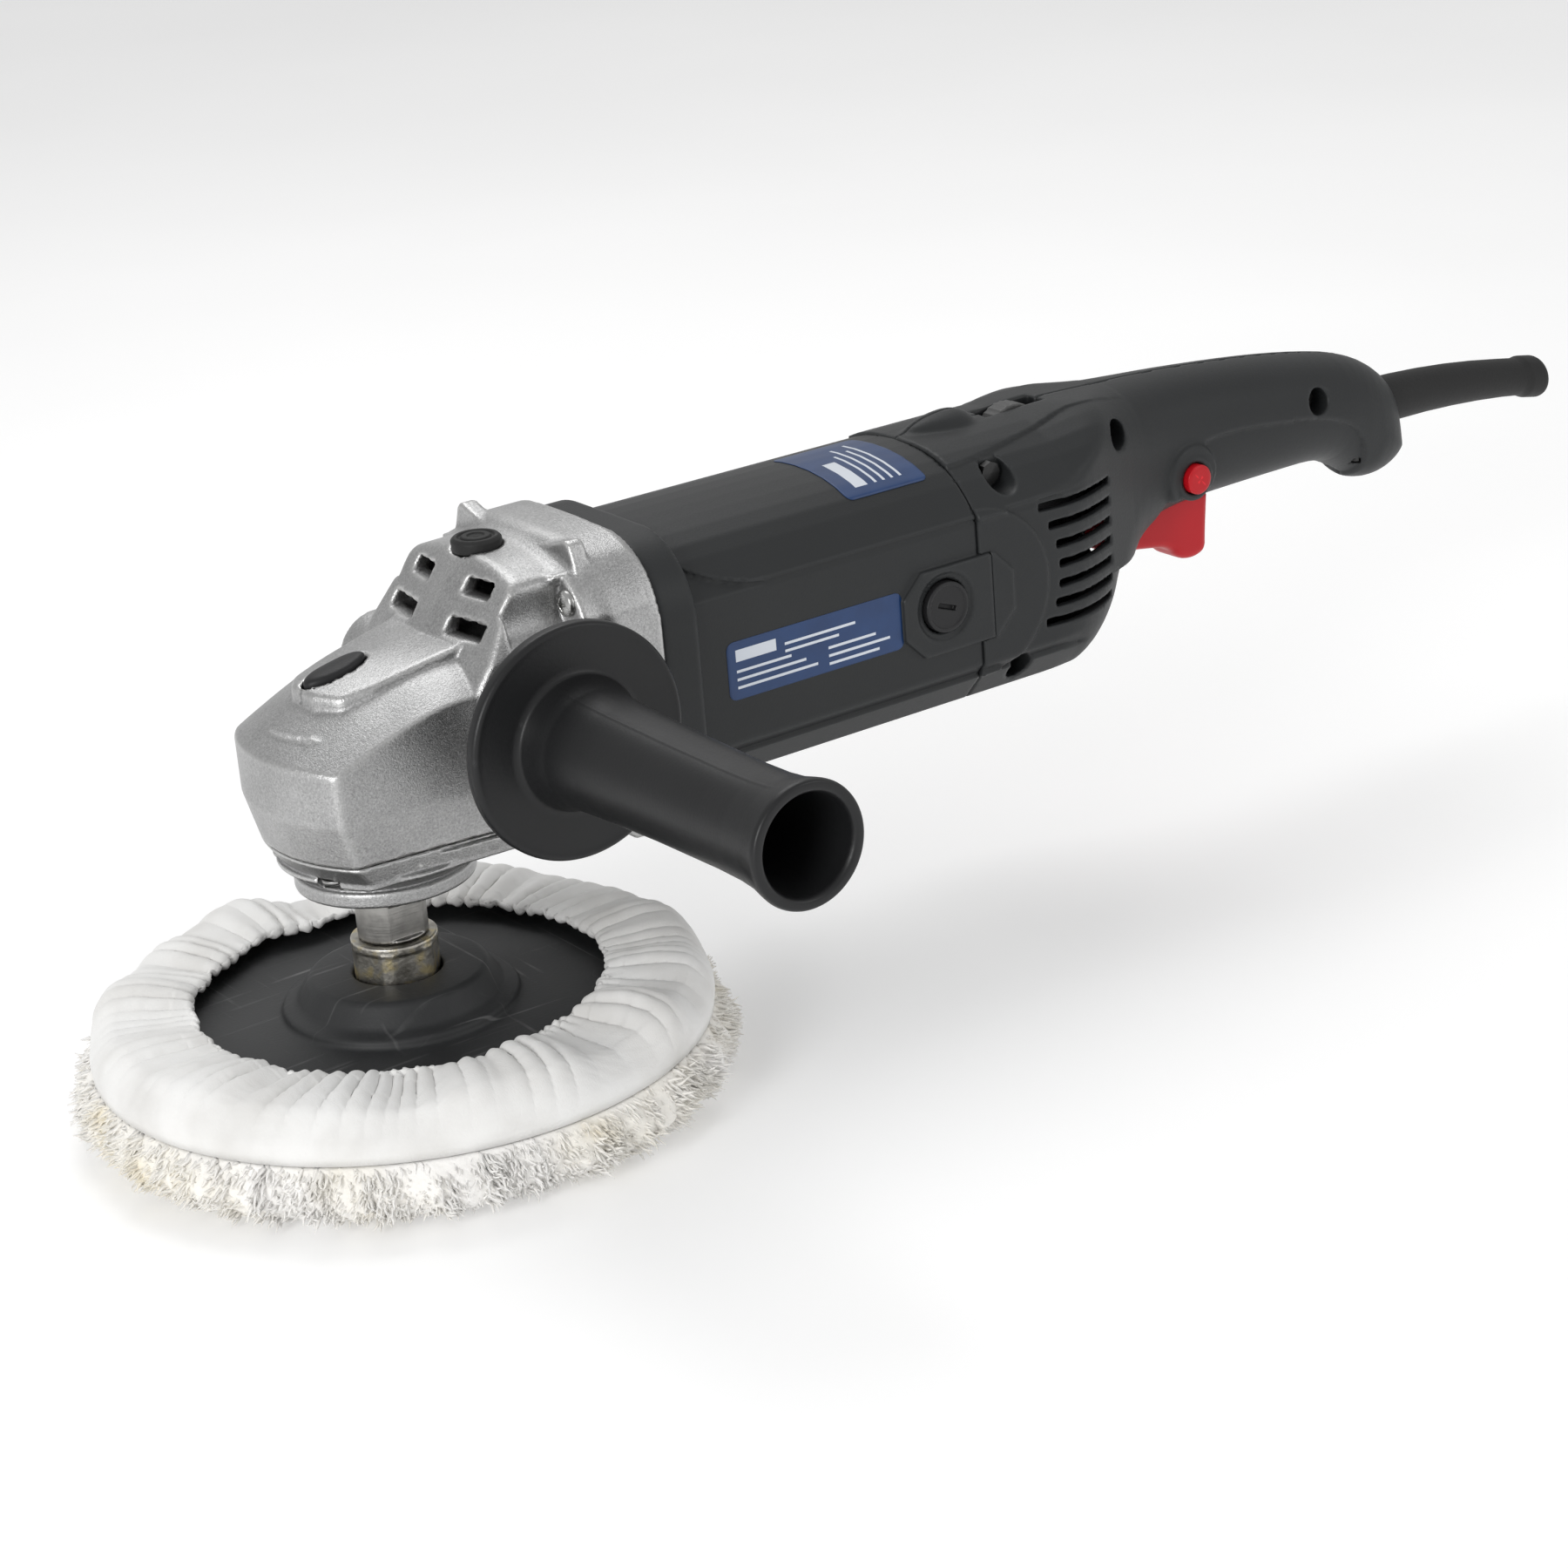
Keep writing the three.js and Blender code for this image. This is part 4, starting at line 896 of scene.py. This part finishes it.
def handle_volume(x, y, z):
    side = np.abs(y)
    profile = outline_depth(x, z, [*HANDLE_TOP, *HANDLE_LOW[1:]])
    plan = outline_depth(x, side, [*HANDLE_PLAN[:-1], (394.6, -60), (150, -60), (150, 39.5)])
    belly = np.clip((x - 192) / 25, 0, 1) * (z < 100) * (x < 262)
    soften = 3 + 17 * np.clip((x - 205) / 60, 0, 1) + 12 * belly
    body = soft_max(profile, plan, soften)
    return soft_max(body, tube_depth(np.minimum(x, 186), y, z) - 0.15 * np.maximum(x - 225, 0), 2)


def handle_field(x, y, z):
    side = np.abs(y)
    outer = handle_volume(x, y, z)
    fade = np.clip((262 - x) / 30, 0, 1)
    crest = 27 - 12.5 * np.clip((x - 190) / 50, 0, 1) ** 1.3
    plateau = soft_max(outer - 0.9 * fade, side - crest + 0.6 * (150 - z), 0.8)
    body = np.where(x < 264, soft_min(outer, every(plateau, 140 - z), 0.4), outer)
    round_plate = soft_max(np.hypot(x - 186, z - 109) - 26, outer - 0.75, 0.5)
    body = soft_min(body, every(round_plate, 25 - side), 0.3)
    body = soft_min(body, every(brush_boss(x, y, z), 25 - side), 0.4)
    hump_long = (x - 206) / np.where(x > 206, 8.5, 17)
    hump_wide = y / (7.6 - 0.12 * np.maximum(206 - x, 0))
    hump = np.sqrt(hump_long**2 + hump_wide**2 + ((z - 149.5) / 5.4) ** 2)
    body = soft_min(body, every((hump - 1) * 4.5, 140 - z), 1.2)
    panel = every(outline_depth(x, z, GRIP_PANEL), -(outer + 0.9))
    body = soft_max(body, -panel, 0.5)
    collar = soft_max(np.abs(np.hypot(x - LOCK_ON_X, z - LOCK_ON_Z) - 6.1) - 1.1, np.abs(y + 18) - 2.9, 0.8)
    raised = soft_max(np.hypot(x - LOCK_ON_X, z - LOCK_ON_Z) - 10.2, outer - 1.6, 1.2)
    body = soft_min(body, every(raised, y + 10, 112 - z), 2.0)
    inner = every(outer + 3, 186 - x)
    posts = None
    for screw_x, screw_z, *_ in SCREW_WELLS:
        post = every(np.hypot(x - screw_x, z - screw_z) - 6.8, side - 39)
        posts = post if posts is None else np.minimum(posts, post)
    posts = np.minimum(posts, every(np.hypot(x - PIVOT_X, z - PIVOT_Z) - 5, side - 20))
    posts = np.minimum(posts, every(np.hypot(x - CLAMP_X, side - CLAMP_SIDE) - 3.4, z - 109.3))
    body = np.maximum(body, -every(inner, -posts))
    body = np.minimum(body, every(collar, y + 10))
    for slot_x, slot_z in VENT_SLOTS:
        bow = slot_z + 0.5 * ((x - 228) / 15) ** 2
        slot = soft_max(np.abs(z - bow) - 1.25, np.abs(x - (slot_x + 243) / 2) - (243 - slot_x) / 2, 0.8)
        body = soft_max(body, -every(slot, 22 - side), 0.4)
    for screw_x, screw_z, well, width in SCREW_WELLS:
        ring = np.hypot(x - screw_x, z - screw_z)
        body = soft_max(body, -every(ring - width, y + well), 0.7)
        body = every(body, -every(ring - 2.3, y - 0.6 * well - 5.4))
    trigger_way = every(np.abs(x - 283.5) - 22.6, side - 7.6, z - 114)
    pivot_way = every(np.abs(x - PIVOT_X) - 6.5, side - 7.6, z - 110, 97 - z)
    pivot = every(np.hypot(x - PIVOT_X, z - PIVOT_Z) - 2.5, side - 11.6)
    dial_way = every(round_rect(x - DIAL_X, y, 11.5, 4.2, 1), 140 - z)
    button_way = every(np.hypot(x - LOCK_ON_X, z - LOCK_ON_Z) - 5, y + 10)
    sleeve_way = every(np.hypot(y, z - 118.2) - 8.7, 376 - x)
    bearing_way = every(np.hypot(y, z - MOTOR_Z) - 16, x - 196.2)
    clamp_way = every(np.hypot(x - CLAMP_X, side - CLAMP_SIDE) - 1.8, 103 - z, z - 112)
    nub = np.sqrt((x - 389.5) ** 2 + ((side - 8) * 0.8) ** 2 + ((z - 100.5) * 0.8) ** 2) - 4.2
    for room in (trigger_way, pivot_way, pivot, dial_way, button_way, sleeve_way, bearing_way,
                 clamp_way, nub):
        body = np.maximum(body, -room)
    return every(body, parting(z) + 0.12 - x)


for half, sign in (("left", -1), ("right", 1)):
    near, far = sorted((0, sign * 43))
    shell = moulded(lambda x, y, z: every(handle_field(x, y, z), 0.12 - sign * y),
                    (184, near - 0.9, 66), (398, far + 0.9, 158), 0.9)
    make_mesh(f"handle_shell_{half}", *shell, charcoal, "root", [f"handle_{half}"], "housing_plastic")

# ---- Trigger and lock-on button: glossy red mouldings --------------------------------------------------
# The trigger swings on a pin inside the grip. The button beside it holds the trigger in when pressed.
red = plain_plastic("red_moulding", (0.46, 0.004, 0.010), 0.34, 0.00002)
TRIGGER_SIDE = softened([
    (262.5, 96.5), (279, 94.0), (287, 92.4), (291, 87.6), (297, 86.4), (302.4, 88.2), (302.6, 94),
    (303.8, 107)]) + [(298, MOTOR_Z), (266, 108.5), (261.5, 104)]


def trigger_field(x, y, z):
    body = soft_max(outline_depth(x, z, TRIGGER_SIDE), np.abs(y) - 7, 3)
    return np.minimum(body, every(np.hypot(x - PIVOT_X, z - PIVOT_Z) - 2.1, np.abs(y) - 10.6))


make_mesh("trigger_piece", *moulded(trigger_field, (258, -12, 83), (307, 12, 112), 0.6), red, "trigger",
          ["trigger"], "red_plastic")
button_profile = rounded_profile([
    (0.01, 12.2), (2.6, 12.2), (2.6, 15.5), (4.6, 15.5), (4.7, 22.7), (4.1, 23.0), (3.2, 23.1), (1.5, 23.1),
    (0.01, 23.1)], 0.3)
points, faces = turned(button_profile, 72)
button_points = np.stack([points[:, 0] + LOCK_ON_X, -points[:, 2], points[:, 1] + LOCK_ON_Z], axis=1)
make_mesh("lock_on_piece", button_points, faces, red, "lock_on", ["lock_on_button"], "red_plastic")

# ---- Cable sleeve: a bent black rubber tube that guards the cable where it leaves the handle -----------
# It is one soft moulding with a rolled collar at its end. The cable itself isn't part of this machine's
# model.
sleeve_profile = [
    (4.4, 373), (10.2, 373), (10.2, 376.4), (8, 376.6), (7.9, 385), (7.8, 392), (7.5, 405), (7.2, 418),
    (6.9, 430), (6.6, 442), (6.5, 449.5), (6.8, 451), (7.25, 452.3), (7.3, 458.3), (6.7, 459.8), (5.2, 460),
    (4.4, 459.4), (4.4, 450), (4.4, 440), (4.4, 425), (4.4, 410), (4.4, 395)]
points, faces = turned(rounded_profile([*sleeve_profile, (4.4, 373)], 0.6)[:-1], 64, closed=True)
reach = np.maximum(points[:, 2] - 383, 0) / 77
sleeve_points = np.stack([points[:, 2], points[:, 1], 118.4 + points[:, 0] - 7.6 * reach**2], axis=1)
make_mesh("cable_sleeve_piece", sleeve_points, faces, rubber, "root", ["cable_sleeve"], "black_rubber")

# ---- Side handle: one hollow black moulding with a round hand guard, screwed into the head -------------
# The grip is satin black nylon, waisted and flared at its open end, with a fine mould line along it.
grip_black = plain_plastic("side_handle_nylon", (0.0105, 0.0108, 0.0115), 0.33, 0.00003, 1100)
grip_profile = rounded_profile([
    (4.3, 46.3), (12, 46.3), (12.4, 57.6), (31.8, 57.6), (33, 58.6), (33, 61.6), (32.0, 62.5), (30.4, 62.2),
    (20.4, 61.7), (18.8, 62.3), (17.7, 66), (16.6, 71), (15.8, 84), (14.9, 110), (14.5, 138),
    (14.7, 149), (15.4, 157), (16.6, 162.4), (17, 164.6), (16.5, 166), (14.2, 166), (13.4, 164.8),
    (12.2, 146), (12.2, 78), (4.3, 77.8), (4.3, 46.3)], 0.9)


def mould_line(height, angle):
    near = np.exp(-((np.mod(angle - 1.9 + np.pi, 2 * np.pi) - np.pi) / 0.018) ** 2)
    far = np.exp(-((np.mod(angle + 1.24 + np.pi, 2 * np.pi) - np.pi) / 0.018) ** 2)
    return 0.16 * (near + far) * ((height > 64) & (height < 160))


points, faces = turned(grip_profile[:-1], 256, closed=True, swell=mould_line)
grip_points = np.stack([points[:, 0] + GRIP_X, -points[:, 2], points[:, 1] + GRIP_Z], axis=1)
make_mesh("side_handle_moulding", grip_points, faces, grip_black, "root", ["side_grip"], "black_plastic")

# ---- Labels: blue film on the side panel and the top, with plain rules in place of writing -------------
# Each is one thin sticker with rounded corners. No words or marks are drawn on it.


def label_finish(name, across, along, bars):
    """Blue film with white rules; across and along are the object axes it is read in, sizes in metres."""
    finish = Finish(name, Metallic=0.0)
    parts = [finish.add("SeparateXYZ", values={0: finish.place()}, output=axis) for axis in range(3)]
    u, v = parts[across], parts[along]
    printed = None
    for start, end, low, high in bars:
        bar = u.above(start) * u.below(end) * v.above(low) * v.below(high)
        printed = bar if printed is None else printed + bar
    blotch = finish.noise(120, 3.0)
    film = finish.ramp(blotch, (0.3, (0.007, 0.032, 0.110)), (0.7, (0.010, 0.042, 0.138)))
    finish.set(Base_Color=finish.mix(printed, film, (0.62, 0.66, 0.72)))
    finish.set(Roughness=0.34 + 0.12 * blotch)
    finish.bump(blotch, 0.00005)
    return finish


def label_mesh(name, u_low, u_high, v_low, v_high, radius, place, finish):
    """A rounded rectangle of film 0.15 mm thick, laid on the surface that place gives."""
    us = np.linspace(u_low, u_high, 61)
    vs = np.linspace(v_low, v_high, 33)
    grid_u, grid_v = np.meshgrid(us, vs, indexing="ij")
    mid_u, mid_v = (u_low + u_high) / 2, (v_low + v_high) / 2
    half_u, half_v = (u_high - u_low) / 2, (v_high - v_low) / 2
    off_u, off_v = grid_u - mid_u, grid_v - mid_v
    over_u = np.maximum(np.abs(off_u) - half_u + radius, 0)
    over_v = np.maximum(np.abs(off_v) - half_v + radius, 0)
    reach = np.maximum(np.hypot(over_u, over_v), 1e-9)
    pull = np.where((over_u > 0) & (over_v > 0) & (reach > radius), radius / reach, 1)
    grid_u = mid_u + np.sign(off_u) * (np.abs(off_u) - over_u + over_u * pull)
    grid_v = mid_v + np.sign(off_v) * (np.abs(off_v) - over_v + over_v * pull)
    points = place(grid_u.ravel(), grid_v.ravel())
    count = len(vs)
    faces = [
        (i * count + j, (i + 1) * count + j, (i + 1) * count + j + 1, i * count + j + 1)
        for i in range(len(us) - 1) for j in range(count - 1)]
    label = make_mesh(name, points, faces, finish, "root")
    film = label.modifiers.new("film", "SOLIDIFY")
    film.thickness = 0.00015
    film.offset = 0
    return label


side_bars = [(0.098, 0.112, 0.1115, 0.1150), (0.115, 0.140, 0.1122, 0.1130), (0.115, 0.134, 0.1100, 0.1108)]
for start, rules in ((0.098, ((0.019, 0.1082), (0.024, 0.1058), (0.028, 0.1034))),
                     (0.130, ((0.017, 0.1070), (0.022, 0.1046), (0.018, 0.1022)))):
    side_bars += [(start, start + wide, low, low + 0.0008) for wide, low in rules]
side_label = label_finish("side_label_film", 0, 2, side_bars)
label_mesh("side_label", 95, 157, 100.3, 117.6, 2.5,
           lambda u, v: np.stack([u, np.full_like(u, -37.32), v], axis=1), side_label)
top_bars = [(0.1545, 0.1590, -0.022, -0.006)]
top_rules = ((0.1615, -0.002), (0.1645, 0.004), (0.1675, 0.000), (0.1705, 0.006))
top_bars += [(at, at + 0.0009, -0.022, stop) for at, stop in top_rules]
top_label = label_finish("top_label_film", 0, 1, top_bars)


def on_top(u, v):
    heights = np.full(u.shape, 151.5)
    for _ in range(30):
        heights = heights - 0.8 * tube_depth(u, v, heights)
    return np.stack([u, v, heights + 0.14], axis=1)


label_mesh("top_label", 149, 178, -26, 12, 2.0, on_top, top_label)

# ---- Speed dial: a ribbed thumb wheel in grey plastic, which looks out of a slot in the top ------------
# Its rim has ribs for the thumb. It turns a control on the speed module below.
dial_grey = plain_plastic("dial_grey", (0.07, 0.07, 0.07), 0.4)


def dial_field(x, y, z):
    across = np.hypot(x - DIAL_X, z - DIAL_Z)
    angle = np.arctan2(z - DIAL_Z, x - DIAL_X)
    rim = across - 10.75 + 0.35 * np.abs(np.sin(14 * angle)) ** 0.7
    wheel = soft_max(rim, np.abs(y) - 3.3, 0.6)
    return np.minimum(wheel, every(across - 2.4, -7.6 - y, y - 3))


make_mesh("speed_dial_piece", *moulded(dial_field, (217, -9, 129), (241, 5, 154), 0.45), dial_grey,
          "speed_dial", ["speed_dial"], "black_plastic")

# ---- Inside: motor, gears, bearings, brushes and switch, each in its own material ----------------------
# These pieces show through the vents or when the machine is opened. They keep the shapes of the solid
# model.
copper = turned_steel("enamelled_copper", (0.45, 0.17, 0.06), 0.35)
lamination = turned_steel("stacked_laminations", (0.20, 0.20, 0.21), 0.45)
dark_steel = turned_steel("hardened_gear_steel", (0.24, 0.23, 0.22), 0.34)
brass = turned_steel("drawn_brass", (0.60, 0.45, 0.20), 0.3)
carbon = plain_plastic("pressed_carbon", (0.018, 0.018, 0.020), 0.6, 0.00008, 2200)
# Screw steel darkened to near black as painted shade of the handle's deep screw wells; the cord clamp's
# screws share it.
shade_darkened_screw = turned_steel("shade_darkened_screw_steel", (0.07, 0.07, 0.07), 0.42)
INSIDE = {
    "crown_gear": dark_steel, "spindle_bearing": steel, "spindle_top_bush": brass, "pinion_bearing": steel,
    "pinion": dark_steel, "armature_shaft": steel, "cooling_fan": black_plastic, "armature_core": lamination,
    "armature_windings": copper, "commutator": copper, "rear_bearing": steel, "bearing_sleeve": rubber,
    "stator_core": lamination, "field_coil_1": copper, "field_coil_2": copper, "switch_body": black_plastic,
    "speed_module": black_plastic, "cord_clamp": black_plastic, "grip_stud": steel,
}
for number in (1, 2):
    INSIDE[f"brush_holder_{number}"] = brass
    INSIDE[f"carbon_brush_{number}"] = carbon
    INSIDE[f"brush_spring_{number}"] = screw_steel
    INSIDE[f"clamp_screw_{number}"] = shade_darkened_screw
# The handle's screws take the near-black steel, which is painted shade of their deep wells.
for number in range(1, 5):
    INSIDE[f"handle_screw_{number}"] = shade_darkened_screw
for node, finish in INSIDE.items():
    paint_node(node, finish)
